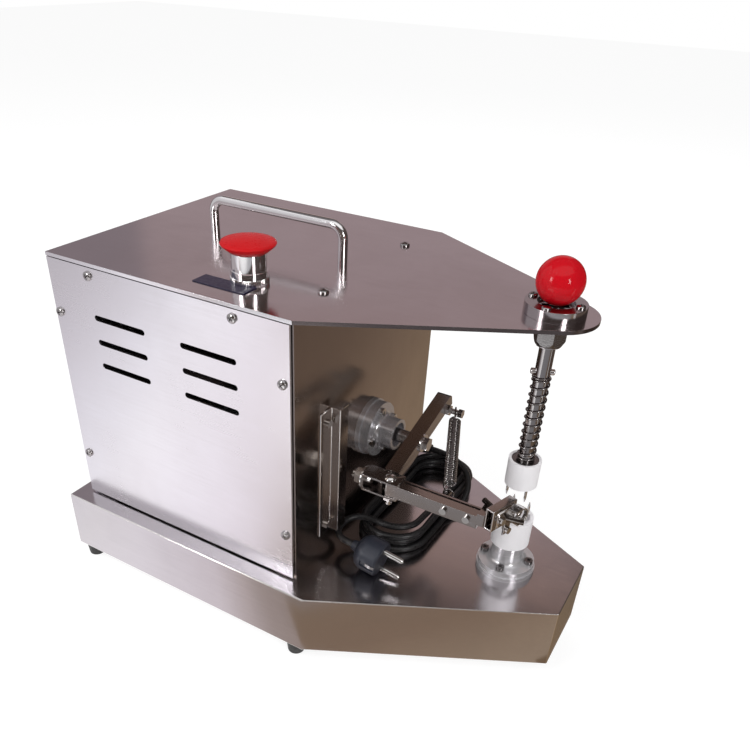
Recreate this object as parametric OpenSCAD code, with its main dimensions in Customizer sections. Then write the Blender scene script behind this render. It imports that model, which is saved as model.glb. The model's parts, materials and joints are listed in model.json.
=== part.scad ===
// Fruit peeling machine for a worktop.
// The fruit sits on a driven lower fork, a spring-loaded chuck holds it from above,
// and a blade on a sprung arm sweeps round it from side to side.
// +X points to the nose, +Z up, origin on the floor under the middle of the base.

/* [Base] */
// Length of the base along X
base_len = 460; // [440:2:480]
// Width of the base
base_w = 274; // [264:2:290]
// Height of the base tray
base_h = 60; // [50:1:70]
// Width of the blunt nose of the base
nose_w = 71; // [60:1:90]
// X at which the base starts to taper
taper_x = 41; // [30:1:60]
// Height of the rubber feet
foot_h = 14; // [10:1:20]
// Sheet thickness of base and housing
sheet = 2; // [1.5:0.5:3]

/* [Housing] */
// X of the back of the housing
house_back = -216.5; // [-220:0.5:-205]
// X of the outer face of the front panel
front_x = 23.5; // [22:0.5:26]
// Width of the housing over its side covers
house_w = 241; // [236:1:250]
// Height of the housing above the base
house_h = 235; // [220:1:250]
// Thickness of the top plate
top_t = 3; // [2:0.5:5]
// Radius of the top plate's nose
top_nose_r = 32.5; // [28:0.5:40]

/* [Spindle] */
// X of the spindle axis
spin_x = 168; // [160:1:175]
// Diameter of the lift shaft
shaft_d = 12; // [11:0.5:13]
// Diameter of the ball knob
ball_d = 34.5; // [30:0.5:40]
// Diameter of the upper chuck
chuck_d = 26.6; // [24:0.2:30]
// Diameter of the lower fork's cup
cup_d = 33; // [30:0.5:36]
// Number of curls of the lift spring
lift_curls = 13; // [10:1:16]

/* [Peeling arm] */
// Height of the arm's sweep axis
sweep_z = 169.5; // [165:0.5:175]
// Tilt of the lever from level
lever_tilt = 16.4; // [10:0.2:20]
// Width of the lever and the blade arm
bar_w = 13; // [12:0.5:14]
// Height of the lever and the blade arm
bar_h = 12; // [10:0.5:12]
// Number of curls of the arm spring
arm_curls = 36; // [30:1:38]

/* [Cord] */
// Diameter of the mains lead
cord_d = 6; // [5.5:0.1:6.2]
// Radius of the coil's outer turns
coil_r = 32; // [30:0.5:32]

/* [Hidden] */
$fn = 64;

// Small gaps: a running fit, a drilled hole and a free gap
run = 0.06;
fit = 0.1;
gap = 0.3;

base_top = foot_h + base_h;
house_z = base_top + 0.2;
house_top = base_top + house_h;
top_z = house_top + top_t;
side_y = house_w / 2;
panel_y = side_y - sheet - 1;
panel_top = house_top - 0.5;
shaft_r = shaft_d / 2;
flange_len = 28;

// Screw places on a side cover, as X and Z
cover_screws_xz = [
    [-171, base_top + 227.5], [-27.6, base_top + 227.5], [-211.5, base_top + 188],
    [15.3, base_top + 187], [-210, base_top + 47], [15.3, base_top + 47]
];
cover_screw_d = 4;
// Vent slots on a side cover
slot_len = 54;
slot_w = 5;
slot_x = [-170.9, -80.3];
slot_z = [192.6, 171, 149.4];

// Screws that hold the top plate, as X and Y
top_screws_xy = [[13.5, -64], [13, 67]];
handle_x = [-139, -9];
handle_r = 4;
handle_h = 29;
handle_bend = 11;

// Stop button
button_x = -43.5;
button_y = -77.5;
button_d = 42;
button_travel = 4;
bezel_r = 14.2;
bezel_h = 10;
neck_r = 13.6;
neck_h = 13.2;
barrel_r = 11;
stem_r = 8.8;
head_z = top_z + 23.5;
head_h = 10;
dome_r = 74;

// Guide bush on the nose
bush_r = 22.5;
bush_h = 8;
recess_r = 13.6;
recess_d = 3;
tube_r = 9.5;
tube_len = 22;
bush_screw_r = 18;
bush_screws_a = [-5, 85, 175, 265];
pin_angle = 24;
pin_r = 2.4;
pin_len = 18.2;
pin_z = 265;
ball_z = top_z + 23.2;

// Chuck
chuck_z = 163;
chuck_h = 24;
bearing_r = 11;
bearing_h = 7;
chuck_prong_z = 150;
prong_r = 1.1;

// Fork
cup_z = 102.5;
cup_h = 26.5;
cup_recess_r = 13.5;
cup_recess_d = 5;
fork_prong_r = 11;
fork_prong_z = 143;
housing_r = 25.7;
fork_flange = 9;
fork_screw_r = 19.8;
fork_screw_a = 5;
fork_prong_a = 30;
prong_root = 13.5;
pulley_z = 36;
belt_h = 8;
belt_t = 4;
fork_pulley_r = 28;
motor_pulley_r = 14;
motor_x = -70;
motor_y = 70;
motor_r = 32;

// Sweep drive
boss_flange = 12.5;
boss_len = 29.5;
gear_module = 1.6;
gear_teeth = 45;
pinion_teeth = 18;
gear_play = 0.4;
gear_x = -34;
gear_w = 9;
pinion_z = sweep_z - gear_module * (gear_teeth + pinion_teeth) / 2;
motor_face_x = -44;

// Lever, clevis and blade arm
lever_x = 64;
lever_near = -46;
lever_far = 60;
clevis_x = 51;
clevis_len = 33;
clevis_wall = 1.5;
arm_y = -52;
arm_z = 153.5;
hinge_x = 74;
hinge_r = 3;
arm_end = 155;
stud_y = 47;
stud_z = 180.5;
stud_x = 86;
hook_x = 121.5;
hook_y = -39;
hook_z = 157;
holder_x = 160.5;
holder_w = 8;
holder_z = 151;
holder_h = 19.5;
holder_turn = 18;
holder_y = -58.5;
holder_len = 28.5;
blade_y = 24;
blade_z = 161;
blade_r = 7.5;

// Springs
arm_wire = 1.5;
arm_coil_r = 4.75;
arm_pitch = 2.05;
hook_loop_r = 4.2;
lift_wire = 1.3;
lift_coil_r = 7.1;
lift_low = chuck_z + chuck_h + gap + lift_wire / 2;
lift_high = pin_z - pin_r - gap - lift_wire / 2;
curl_rings = 8;
lift_rings = 12;
wire_sides = 6;

// Cord
cord_r = cord_d / 2;
cord_sides = 8;
gland_y = 95;
gland_z = 101;
gland_end = 47;
cord_low = base_top + gap + cord_r;
coil_x = 63;
coil_near = -12.5;
coil_far = 80;
coil_long = 0.27;
coil_arc = 0.5 - coil_long;
coil_from = 0.19;
coil_to = 4.385;
coil_run = (coil_to - coil_from) / 3;
coil_step = cord_d + 0.7;
coil_layer = cord_d + 0.5;
lead_x = 48;
lead_drop = [0, 0, 0.5, 1.6, 2.4, 2.7, 2.6, 2.3, 2];
plug_r = 16;
plug_len = 29.5;
plug_tilt = 8;
plug_y = -72;
plug_back_x = 52.5;
plug_back_z = base_top + gap + plug_r * cos(plug_tilt) + plug_len * sin(plug_tilt);
pin_gap = 19;
cord_fall = [101, 100.9, 100.3, 98.8, 95.6, 90.9, 85.8];
cord_route = concat(
    [[gland_end, gland_y, gland_z]],
    [for (i = [0 : 6]) [54 + 49 * cos(90 - 15 * i), 56 + 39 * sin(90 - 15 * i), cord_fall[i]]],
    [[102.1, 47, 81.8], [99.2, 38, 79], [96.3, 30.5, 77.7], [95.2, 25.2, 77.35]]
);

// Vector helpers for tubes swept along a path
function unit(v) = v / norm(v);
function tangent(path, i) = unit(path[min(i + 1, len(path) - 1)] - path[max(i - 1, 0)]);
function carry(n, t) = unit(n - (n * t) * t);
function smooth(s) = let(c = min(max(s, 0), 1)) c * c * (3 - 2 * c);
function least_gap(path, skip, d) =
    min([for (i = [0 : len(path) - 1]) for (j = [i + skip : 1 : len(path) - 1]) norm(path[i] - path[j])]) - d;

// A tube of one radius along a path of points
module tube(path, r, sides, first) {
    last = len(path) - 1;
    normals = [
        for (i = 0, n = carry(first, tangent(path, 0)); i <= last;
            i = i + 1, n = carry(n, tangent(path, min(i, last)))) n
    ];
    points = [
        for (i = [0 : last])
            let (t = tangent(path, i), n = normals[i], b = cross(t, n))
                for (k = [0 : sides - 1])
                    path[i] + r * (cos(360 * k / sides) * n + sin(360 * k / sides) * b)
    ];
    walls = [
        for (i = [0 : last - 1])
            for (k = [0 : sides - 1])
                let (a = i * sides + k, b = i * sides + (k + 1) % sides)
                    each [[a, a + sides, b + sides], [a, b + sides, b]]
    ];
    start = [for (k = [1 : sides - 2]) [0, k, k + 1]];
    end = [for (k = [1 : sides - 2]) [last * sides, last * sides + k + 1, last * sides + k]];
    polyhedron(points = points, faces = concat(walls, start, end));
}

// Lays a shape made along Z so that it runs along X
module along_x() { rotate([0, 90, 0]) children(); }

// Lays a shape made along Z so that it runs along Y
module along_y() { rotate([-90, 0, 0]) children(); }

// A plain ring along Z
module ring(r_out, r_in, h) {
    difference() {
        cylinder(r = r_out, h = h);
        translate([0, 0, -1]) cylinder(r = r_in, h = h + 2);
    }
}

// Machine screw along Z, head up, standing on z = 0
module screw(d, head_r, head_h, shank) {
    cylinder(r = head_r, h = head_h);
    translate([0, 0, -shank]) cylinder(r = d / 2 - fit, h = shank);
}

// Hexagon prism along Z, sized across its flats
module hex(flats, h) { cylinder(r = flats / 2 / cos(30), h = h, $fn = 6); }

// Footprint of the base with every wall moved in by d
module base_outline(d) {
    run_x = base_len / 2 - taper_x;
    run_y = (base_w - nose_w) / 2;
    len_t = norm([run_x, run_y]);
    t = [run_x, run_y] / len_t;
    n = [-t[1], t[0]];
    s1 = (1 - n[1]) * d / t[1];
    s2 = (run_x - d - n[0] * d) / t[0];
    corner = [taper_x + n[0] * d + t[0] * s1, -base_w / 2 + d];
    tip = [base_len / 2 - d, -base_w / 2 + n[1] * d + t[1] * s2];
    back = [-base_len / 2 + d, -base_w / 2 + d];
    polygon([
        back, corner, tip,
        [tip[0], -tip[1]], [corner[0], -corner[1]], [back[0], -back[1]]
    ]);
}

module base_tray() {
    color("silver") difference() {
        translate([0, 0, foot_h]) linear_extrude(base_h) base_outline(0);
        translate([0, 0, foot_h - 1]) linear_extrude(base_h + 1 - sheet) base_outline(sheet);
        translate([spin_x, 0, base_top - 10]) cylinder(r = 15.2, h = 20);
        translate([motor_x, motor_y, base_top - 10]) cylinder(r = 12, h = 20);
        for (a = [0 : 90 : 270]) translate([spin_x, 0, base_top - 10])
            rotate(fork_screw_a + a) translate([fork_screw_r, 0, 0]) cylinder(d = 4, h = 20);
    }
}

module bottom_cover() {
    color("gray") translate([0, 0, foot_h + 1]) linear_extrude(1.5) base_outline(sheet + gap);
}

module rubber_foot() {
    cylinder(r1 = 7.5, r2 = 9, h = foot_h - 0.1);
    cylinder(r = 4, h = foot_h + 1);
}

module rubber_feet() {
    color("black") {
        for (x = [-219, 29]) for (s = [-1, 1]) translate([x, 126.5 * s, 0]) rubber_foot();
        for (s = [-1, 1]) translate([195, 14 * s, 0]) rubber_foot();
    }
}

// Holes along Y for the cover screws
module cover_holes() {
    for (p = cover_screws_xz) translate([p[0], -side_y - 20, p[1]])
        along_y() cylinder(d = cover_screw_d + 0.2, h = house_w + 40);
}

// Lower Y of a folded flange behind the side cover of one side
function flange_y(side) = side * (panel_y - sheet / 2) - sheet / 2;

module front_panel() {
    color("dimgray") difference() {
        union() {
            translate([front_x - sheet, -panel_y, house_z]) cube([sheet, 2 * panel_y, panel_top - house_z]);
            for (s = [-1, 1]) translate([front_x - flange_len, flange_y(s), house_z])
                cube([flange_len, sheet, panel_top - house_z]);
            translate([front_x - flange_len, -panel_y, panel_top - sheet])
                cube([flange_len, 2 * panel_y, sheet]);
        }
        cover_holes();
        for (p = top_screws_xy) translate([p[0], p[1], panel_top - 10]) cylinder(d = 4.2, h = 20);
        translate([front_x - 10, 0, sweep_z]) along_x() cylinder(r = 15.9, h = 20);
        translate([front_x - 10, gland_y, gland_z]) along_x() cylinder(r = 8.1, h = 20);
        for (p = panel_screw_yz()) translate([front_x - 10, p[0], p[1]]) along_x() cylinder(d = 4.2, h = 20);
    }
}

module rear_panel() {
    color("silver") difference() {
        union() {
            translate([house_back, -panel_y, house_z]) cube([sheet, 2 * panel_y, panel_top - house_z]);
            for (s = [-1, 1]) translate([house_back, flange_y(s), house_z])
                cube([flange_len, sheet, panel_top - house_z]);
        }
        cover_holes();
    }
}

// A slot with round ends along X, cut through along Y
module vent_slot() {
    translate([slot_w / 2, 0, 0]) along_y() cylinder(d = slot_w, h = 20, center = true);
    translate([slot_len - slot_w / 2, 0, 0]) along_y() cylinder(d = slot_w, h = 20, center = true);
    translate([slot_w / 2, -10, -slot_w / 2]) cube([slot_len - slot_w, 20, slot_w]);
}

module side_cover(side) {
    difference() {
        translate([house_back, side * (side_y - sheet / 2) - sheet / 2, base_top + 2])
            cube([front_x - 1.8 - house_back, sheet, house_top - 0.5 - base_top - 2]);
        cover_holes();
        for (x = slot_x) for (z = slot_z) translate([x, side * side_y, base_top + z]) vent_slot();
    }
}

module left_side_cover() { color("gainsboro") side_cover(-1); }

module right_side_cover() { color("gainsboro") side_cover(1); }

module cover_screws() {
    color("silver") for (s = [-1, 1]) for (p = cover_screws_xz)
        translate([p[0], s * side_y, p[1]]) rotate([-90 * s, 0, 0]) screw(cover_screw_d, 4, 2.6, 7);
}

// End of the top plate's straight taper, just inside its round nose so that the two cross
function nose_touch() =
    let (
        r = top_nose_r - 0.2, dx = spin_x - front_x, dy = side_y - 0.5, far = norm([dx, dy]),
        long = sqrt(far * far - r * r), a = atan2(-dy, dx) + asin(r / far)
    )
    [front_x + long * cos(a), dy + long * sin(a)];

module top_outline() {
    p = nose_touch();
    y = side_y - 0.5;
    polygon([
        [house_back - 1, -y], [front_x, -y], [p[0], -p[1]], [spin_x, 0], p, [front_x, y], [house_back - 1, y]
    ]);
    translate([spin_x, 0]) circle(r = top_nose_r);
}

module top_plate() {
    lip_len = 165;
    color("rosybrown") difference() {
        union() {
            translate([0, 0, house_top]) linear_extrude(top_t) top_outline();
            for (s = [-1, 1]) translate([-182, flange_y(s), house_top - 16])
                cube([lip_len, sheet, 17]);
        }
        cover_holes();
        translate([spin_x, 0, house_top - 1]) cylinder(r = tube_r + fit, h = top_t + 2);
        for (a = bush_screws_a) translate([spin_x, 0, house_top - 1])
            rotate(a) translate([bush_screw_r, 0, 0]) cylinder(d = 4, h = top_t + 2);
        translate([button_x, button_y, house_top - 1]) cylinder(r = barrel_r + fit, h = top_t + 2);
        for (p = top_screws_xy) translate([p[0], p[1], house_top - 1]) cylinder(d = 4.2, h = top_t + 2);
        for (x = handle_x) translate([x, 0, house_top - 1]) cylinder(d = 4.4, h = top_t + 2);
    }
}

module top_screws() {
    color("silver") for (p = top_screws_xy) translate([p[0], p[1], top_z]) screw(4, 4.2, 2.8, 8);
}

// Quarter bend of the handle rod in the XZ plane, from +Z round to +X
module handle_bend_piece() {
    rotate([90, 0, 0]) rotate_extrude(angle = 90) translate([handle_bend, 0]) circle(r = handle_r);
}

module carry_handle() {
    leg = handle_h - handle_bend;
    color("silver") difference() {
        union() {
            for (x = handle_x) translate([x, 0, top_z]) cylinder(r = handle_r, h = leg);
            translate([handle_x[1] - handle_bend, 0, top_z + leg]) handle_bend_piece();
            translate([handle_x[0] + handle_bend, 0, top_z + leg]) mirror([1, 0, 0]) handle_bend_piece();
            translate([handle_x[0] + handle_bend, 0, top_z + handle_h]) along_x()
                cylinder(r = handle_r, h = handle_x[1] - handle_x[0] - 2 * handle_bend);
        }
        for (x = handle_x) translate([x, 0, top_z - 1]) cylinder(r = 2.1, h = 12);
    }
}

module handle_screws() {
    color("silver") for (x = handle_x) translate([x, 0, house_top]) rotate([180, 0, 0]) screw(4, 3.8, 3, 13);
}

module legend_plate() {
    color("midnightblue") difference() {
        translate([-79, -102, top_z]) cube([48, 16, 0.8]);
        translate([button_x, button_y, top_z - 1]) cylinder(r = bezel_r + 0.4, h = 4);
    }
}

module button_bezel() {
    color("silver") translate([button_x, button_y, top_z]) difference() {
        union() {
            cylinder(r = bezel_r, h = bezel_h);
            translate([0, 0, bezel_h]) cylinder(r = neck_r, h = neck_h);
            translate([0, 0, -20]) cylinder(r = barrel_r, h = 20);
        }
        translate([0, 0, -21]) cylinder(r = stem_r + 0.2, h = 60);
    }
}

module switch_block() {
    color("dimgray") translate([button_x, button_y, 0]) {
        difference() {
            translate([0, 0, house_top - 6]) hex(28, 6);
            translate([0, 0, house_top - 7]) cylinder(r = barrel_r + fit, h = 8);
        }
        difference() {
            translate([-15, -11, top_z - 52]) cube([30, 22, 31.7]);
            translate([0, 0, top_z - 26]) cylinder(r = 4.6, h = 20);
        }
    }
}

module stop_button() {
    r = button_d / 2;
    color("crimson") translate([button_x, button_y, head_z]) {
        rotate_extrude() difference() {
            intersection() {
                polygon([[0, 0], [r - 2, 0], [r, 2.2], [r, 6.4], [r - 1.4, head_h], [0, head_h]]);
                translate([0, head_h - dome_r]) circle(r = dome_r, $fn = 128);
            }
            translate([0, -1]) square([neck_r + 0.6, button_travel + 1.6]);
        }
        translate([0, 0, -38.5]) cylinder(r = stem_r, h = 44);
    }
}

module guide_bush() {
    color("dimgray") translate([spin_x, 0, 0]) difference() {
        union() {
            translate([0, 0, top_z]) cylinder(r = bush_r, h = bush_h);
            translate([0, 0, house_top - tube_len]) cylinder(r = tube_r, h = tube_len + top_t);
        }
        translate([0, 0, top_z + bush_h - recess_d]) cylinder(r = recess_r, h = 10);
        translate([0, 0, house_top - tube_len - 1]) cylinder(r = shaft_r + run, h = 60);
        rotate(pin_angle) translate([-tube_r - 0.3, -pin_r - 0.4, house_top - tube_len - 1])
            cube([2 * tube_r + 0.6, 2 * pin_r + 0.8, 60]);
        for (a = bush_screws_a) rotate(a) translate([bush_screw_r, 0, top_z - 1]) cylinder(d = 4, h = 20);
    }
}

module bush_nut() {
    color("dimgray") translate([spin_x, 0, house_top - 21]) difference() {
        intersection() {
            hex(21, 21);
            cylinder(r1 = 10, r2 = 22, h = 24);
        }
        translate([0, 0, -1]) cylinder(r = tube_r + fit, h = 30);
    }
}

module bush_screws() {
    color("silver") for (a = bush_screws_a) translate([spin_x, 0, top_z + bush_h])
        rotate(a) translate([bush_screw_r, 0, 0]) screw(4, 3.4, 2.4, 13);
}

// Screws on the front panel, as Y and Z
function bracket_screw_yz() = [[-72.5, 208], [-72.5, 105]];
function boss_screw_yz() = [for (a = [9 : 90 : 279]) [19.8 * cos(a), sweep_z + 19.8 * sin(a)]];
function panel_screw_yz() = concat(bracket_screw_yz(), boss_screw_yz());

module panel_bracket() {
    bracket_z = 97.5;
    bracket_h = 122.5;
    color("gray") difference() {
        union() {
            translate([front_x, -83, bracket_z]) cube([1.5, 17, bracket_h]);
            translate([front_x, -67.5, bracket_z]) cube([10, 1.5, bracket_h]);
            translate([front_x + 8.5, -67.5, bracket_z]) cube([1.5, 13, bracket_h]);
        }
        for (p = bracket_screw_yz()) translate([front_x - 5, p[0], p[1]]) along_x() cylinder(d = 4.2, h = 12);
    }
}

module panel_screws() {
    color("silver") {
        for (p = bracket_screw_yz()) translate([front_x + 1.5, p[0], p[1]]) along_x() screw(4, 3.4, 2.4, 7);
        for (p = boss_screw_yz()) translate([front_x + boss_flange, p[0], p[1]]) along_x() socket_screw(19);
    }
}

// Profile of a bearing housing: flange in two steps, neck with a fillet and a spigot behind
module housing_profile(flange_r, flange_h, neck_r, height, spigot) {
    fillet = 5;
    translate([0, -spigot[1]]) square([spigot[0], spigot[1] + 1]);
    square([flange_r, 4]);
    translate([0, 3]) square([flange_r - 1.2, flange_h - 3]);
    translate([0, flange_h - 1]) square([neck_r, height - flange_h + 1]);
    difference() {
        translate([neck_r - 1, flange_h - 1]) square([fillet + 1, fillet + 1]);
        translate([neck_r + fillet, flange_h + fillet]) circle(r = fillet);
    }
}

// Cap screw with a hex socket, its head standing on z = 0
module socket_screw(length) {
    difference() {
        screw(4, 3.6, 3.6, length);
        translate([0, 0, 1.6]) hex(3, 4);
    }
}

module sweep_housing() {
    color("lightgray") difference() {
        translate([front_x, 0, sweep_z]) along_x() rotate_extrude()
            housing_profile(26, boss_flange, 14, boss_len, [15.8, 13]);
        translate([front_x + boss_len - 7, 0, sweep_z]) along_x() cylinder(r = 11, h = 10);
        translate([front_x - 20, 0, sweep_z]) along_x() cylinder(r = shaft_r + run, h = 80);
        for (p = boss_screw_yz()) translate([front_x, p[0], p[1]]) along_x() {
            translate([0, 0, -20]) cylinder(d = 4, h = 60);
            translate([0, 0, boss_flange]) cylinder(r = 3.9, h = 30);
        }
    }
}

module fork_housing() {
    color("lightgray") translate([spin_x, 0, base_top]) difference() {
        rotate_extrude() housing_profile(housing_r, fork_flange, 14, cup_z - base_top - gap, [15, 14]);
        translate([0, 0, -20]) cylinder(r = shaft_r + run, h = 60);
        for (a = [0 : 90 : 270]) rotate(fork_screw_a + a) translate([fork_screw_r, 0, 0]) {
            translate([0, 0, -5]) cylinder(d = 4, h = 20);
            translate([0, 0, fork_flange]) cylinder(r = 3.9, h = 20);
        }
    }
}

module fork_housing_screws() {
    color("dimgray") for (a = [0 : 90 : 270]) translate([spin_x, 0, base_top + fork_flange])
        rotate(fork_screw_a + a) translate([fork_screw_r, 0, 0]) socket_screw(14);
}

module spin_motor() {
    color("slategray") translate([motor_x, motor_y, base_top]) difference() {
        union() {
            translate([-motor_r, -motor_r, 0]) cube([2 * motor_r, 2 * motor_r, 5]);
            translate([0, 0, 5]) cylinder(r = motor_r, h = 90);
            translate([0, 0, 95]) cylinder(r1 = motor_r, r2 = motor_r - 8, h = 8);
        }
        translate([0, 0, -1]) cylinder(r = 4 + run, h = 30);
    }
}

// Outline of a belt run that wraps two pulleys, grown by d
module belt_outline(d) {
    r1 = fork_pulley_r + d;
    r2 = motor_pulley_r + d;
    span = norm([spin_x - motor_x, motor_y]);
    lean = asin((r1 - r2) / span);
    steps = 24;
    polygon([
        for (i = [0 : steps]) let (a = 90 - lean + i * (180 + 2 * lean) / steps) r1 * [cos(a), sin(a)],
        for (i = [0 : steps]) let (a = 270 + lean + i * (180 - 2 * lean) / steps)
            [span, 0] + r2 * [cos(a), sin(a)]
    ]);
}

module drive_belt() {
    color("black") translate([spin_x, 0, pulley_z]) rotate(atan2(motor_y, motor_x - spin_x))
        linear_extrude(belt_h) difference() {
            belt_outline(2 * gap + belt_t);
            belt_outline(2 * gap);
        }
}

// Flanged pulley with a flat rim, its belt track starting at z = pulley_z
module pulley(r, bore) {
    difference() {
        union() {
            translate([0, 0, pulley_z - 3]) cylinder(r = r + belt_t + 2, h = 3 - gap);
            translate([0, 0, pulley_z - 1]) cylinder(r = r, h = belt_h + 2);
            translate([0, 0, pulley_z + belt_h + gap]) cylinder(r = r + belt_t + 2, h = 3 - gap);
        }
        translate([0, 0, pulley_z - 10]) cylinder(r = bore, h = 40);
    }
}

module motor_pulley() {
    color("gray") translate([motor_x, motor_y, 0]) {
        pulley(motor_pulley_r, 3.9);
        translate([0, 0, pulley_z - 6]) cylinder(r = 4, h = base_top + 20 - pulley_z + 6);
    }
}

module fork_pulley() { color("gray") translate([spin_x, 0, 0]) pulley(fork_pulley_r, shaft_r); }

module fork_shaft() {
    color("silver") translate([spin_x, 0, 28]) cylinder(r = shaft_r, h = cup_z + 15.5 - 28);
}

// Involute gear outline with its first tooth on +X
function involute(rb, a) = rb * [cos(a) + a * PI / 180 * sin(a), sin(a) - a * PI / 180 * cos(a)];
function turn(p, a) = [p[0] * cos(a) - p[1] * sin(a), p[0] * sin(a) + p[1] * cos(a)];
function flank(rb, r) = involute(rb, sqrt(pow(r / rb, 2) - 1) * 180 / PI);
function gear_points(teeth) =
    let (
        rp = gear_module * teeth / 2, rb = rp * cos(20), ro = rp + gear_module * 0.95,
        rr = rp - gear_module * 1.2, low = max(rb, rr), steps = 4,
        half = 90 / teeth - (gear_play / 2) / rp * 180 / PI, base_a = half + tan(20) * 180 / PI - 20,
        side = [for (i = [0 : steps]) flank(rb, low + (ro - low) * i / steps)]
    )
    [for (k = [0 : teeth - 1]) let (c = 360 * k / teeth) each concat(
        [turn([rr, 0], c - base_a)],
        [for (i = [0 : steps]) turn(side[i], c - base_a)],
        [for (i = [steps : -1 : 0]) turn([side[i][0], -side[i][1]], c + base_a)],
        [turn([rr, 0], c + base_a)]
    )];

module sweep_gear() {
    color("goldenrod") translate([gear_x, 0, sweep_z]) along_x() difference() {
        linear_extrude(gear_w) polygon(gear_points(gear_teeth));
        translate([0, 0, -1]) cylinder(r = shaft_r + 0.02, h = gear_w + 2);
        for (a = [30 : 60 : 330]) rotate(a) translate([21, 0, -1]) cylinder(r = 7, h = gear_w + 2);
    }
}

module drive_pinion() {
    color("gray") translate([gear_x, 0, pinion_z]) along_x() {
        linear_extrude(gear_w) rotate(180 / pinion_teeth) polygon(gear_points(pinion_teeth));
        translate([0, 0, -30]) cylinder(r = 4, h = 30);
    }
}

module sweep_gearmotor() {
    color("slategray") translate([motor_face_x, 0, pinion_z]) along_x() difference() {
        union() {
            translate([0, 0, -30]) cylinder(r = 25, h = 30);
            translate([0, 0, -95]) cylinder(r = 21, h = 65);
            cylinder(r = 8, h = 4);
        }
        translate([0, 0, -24]) cylinder(r = 4 + run, h = 40);
    }
}

module gearmotor_bracket() {
    color("gray") difference() {
        union() {
            translate([motor_face_x, -32, base_top]) cube([3, 64, 75]);
            translate([motor_face_x - 40, -32, base_top]) cube([43, 64, 3]);
        }
        translate([motor_face_x - 1, 0, pinion_z]) along_x() cylinder(r = 8 + fit, h = 5);
    }
}

module sweep_shaft() {
    tap = 15;
    color("silver") difference() {
        translate([gear_x - 6, 0, sweep_z]) along_x() cylinder(r = shaft_r, h = lever_x - gear_x + 6);
        translate([lever_x - tap, 0, sweep_z]) along_x() cylinder(r = 3 + fit, h = tap + 1);
    }
}

// Places children in the lever's own frame, Y along the lever
module on_lever() { translate([lever_x, 0, sweep_z]) rotate([lever_tilt, 0, 0]) children(); }

module sweep_lever() {
    back = arm_y + bar_w / 2 + 1;
    front = arm_y - bar_w / 2 - 1.5;
    low = arm_z - bar_h / 2 - gap - clevis_wall;
    high = arm_z + bar_h / 2 + gap + clevis_wall;
    color("rosybrown") difference() {
        union() {
            difference() {
                on_lever() {
                    translate([0, lever_near, -bar_h / 2]) cube([bar_w, lever_far - lever_near - 4, bar_h]);
                    translate([0, lever_far - 4, -bar_h / 2]) cube([bar_w, 4, bar_h - 4]);
                    translate([0, lever_far - 4, bar_h / 2 - 4]) along_x() cylinder(r = 4, h = bar_w);
                }
                translate([lever_x - 1, back - 20, low - 20]) cube([bar_w + 2, 20.5, 60]);
            }
            translate([clevis_x, back, low]) cube([clevis_len, clevis_wall, high - low]);
            for (z = [low, high - clevis_wall]) translate([clevis_x, front, z])
                cube([clevis_len, back - front + clevis_wall, clevis_wall]);
            translate([clevis_x, front, low]) cube([clevis_wall, back - front + clevis_wall, high - low]);
        }
        translate([lever_x - 1, 0, sweep_z]) along_x() cylinder(r = 3 + fit, h = bar_w + 2);
        translate([lever_x + 4, stud_y, stud_z]) along_x() cylinder(r = 2.5 + fit, h = bar_w);
        translate([hinge_x, arm_y, low - 1]) cylinder(r = hinge_r + fit, h = high - low + 2);
        translate([clevis_x - 1, arm_y, arm_z]) along_x() cylinder(r = 4 + fit, h = 4);
    }
}

module lever_bolt() {
    color("silver") translate([lever_x + bar_w, 0, sweep_z]) along_x() {
        cylinder(r = 8, h = 1.5);
        translate([0, 0, 1.5]) hex(11, 5);
        translate([0, 0, -26]) cylinder(r = 3, h = 26);
    }
}

module eye_stud() {
    color("silver") translate([lever_x + bar_w, stud_y, stud_z]) along_x() {
        hex(9, 4);
        translate([0, 0, -8.5]) cylinder(r = 2.5, h = 22);
        translate([0, 0, 12]) hex(7.5, 4);
    }
}

module hinge_bolt() {
    under = arm_z - bar_h / 2 - gap - clevis_wall;
    over = arm_z + bar_h / 2 + gap + clevis_wall;
    color("silver") translate([hinge_x, arm_y, 0]) {
        translate([0, 0, under - 10]) cylinder(r = hinge_r, h = over - under + 10);
        translate([0, 0, over]) intersection() {
            cylinder(r = 5.4, h = 3.4);
            translate([0, 0, -3]) sphere(r = 6.4);
        }
        translate([0, 0, under - 5]) hex(9.5, 5);
        translate([0, 0, under - 1]) cylinder(r = 6, h = 1);
    }
}

module stop_screw() {
    color("silver") translate([clevis_x, arm_y, arm_z]) along_x() {
        translate([0, 0, -11.5]) cylinder(r = 4, h = 17.5);
        translate([0, 0, -8.1]) hex(13, 6.5);
        translate([0, 0, -1.6]) cylinder(r = 10, h = 1.6);
    }
}

// Extension spring, its ends bent to loops round the eye stud and the hook stud
function arm_spring_path() =
    let (
        a = [stud_x, stud_y, stud_z], b = [hook_x, hook_y, hook_z], d = unit(b - a), span = norm(b - a),
        w = -unit(cross([1, 0, 0], d)), v = cross(d, w), lead = (span - arm_curls * arm_pitch) / 2,
        far = a + (span - lead) * d, half = 6
    )
    concat(
        [for (q = [150 : -40 : -90]) a + hook_loop_r * (-cos(q) * d + sin(q) * -w)],
        [a + lead / 2 * d + arm_coil_r * w],
        [for (i = [0 : arm_curls * curl_rings]) let (t = i / curl_rings)
            a + (lead + arm_pitch * t) * d + arm_coil_r * (cos(360 * t) * w + sin(360 * t) * v)],
        [for (i = [1 : 12]) let (
            f = smooth(i / half), q = 360 * i / curl_rings, r = arm_coil_r + f * (hook_loop_r - arm_coil_r),
            dd = unit(d * (1 - f) + [0, -1, 0] * f), ww = carry(w, dd))
            far + f * (b - far) + max(i - half, 0) * [0, -0.3, 0]
                + r * (cos(q) * ww + sin(q) * cross(dd, ww))]
    );

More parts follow.
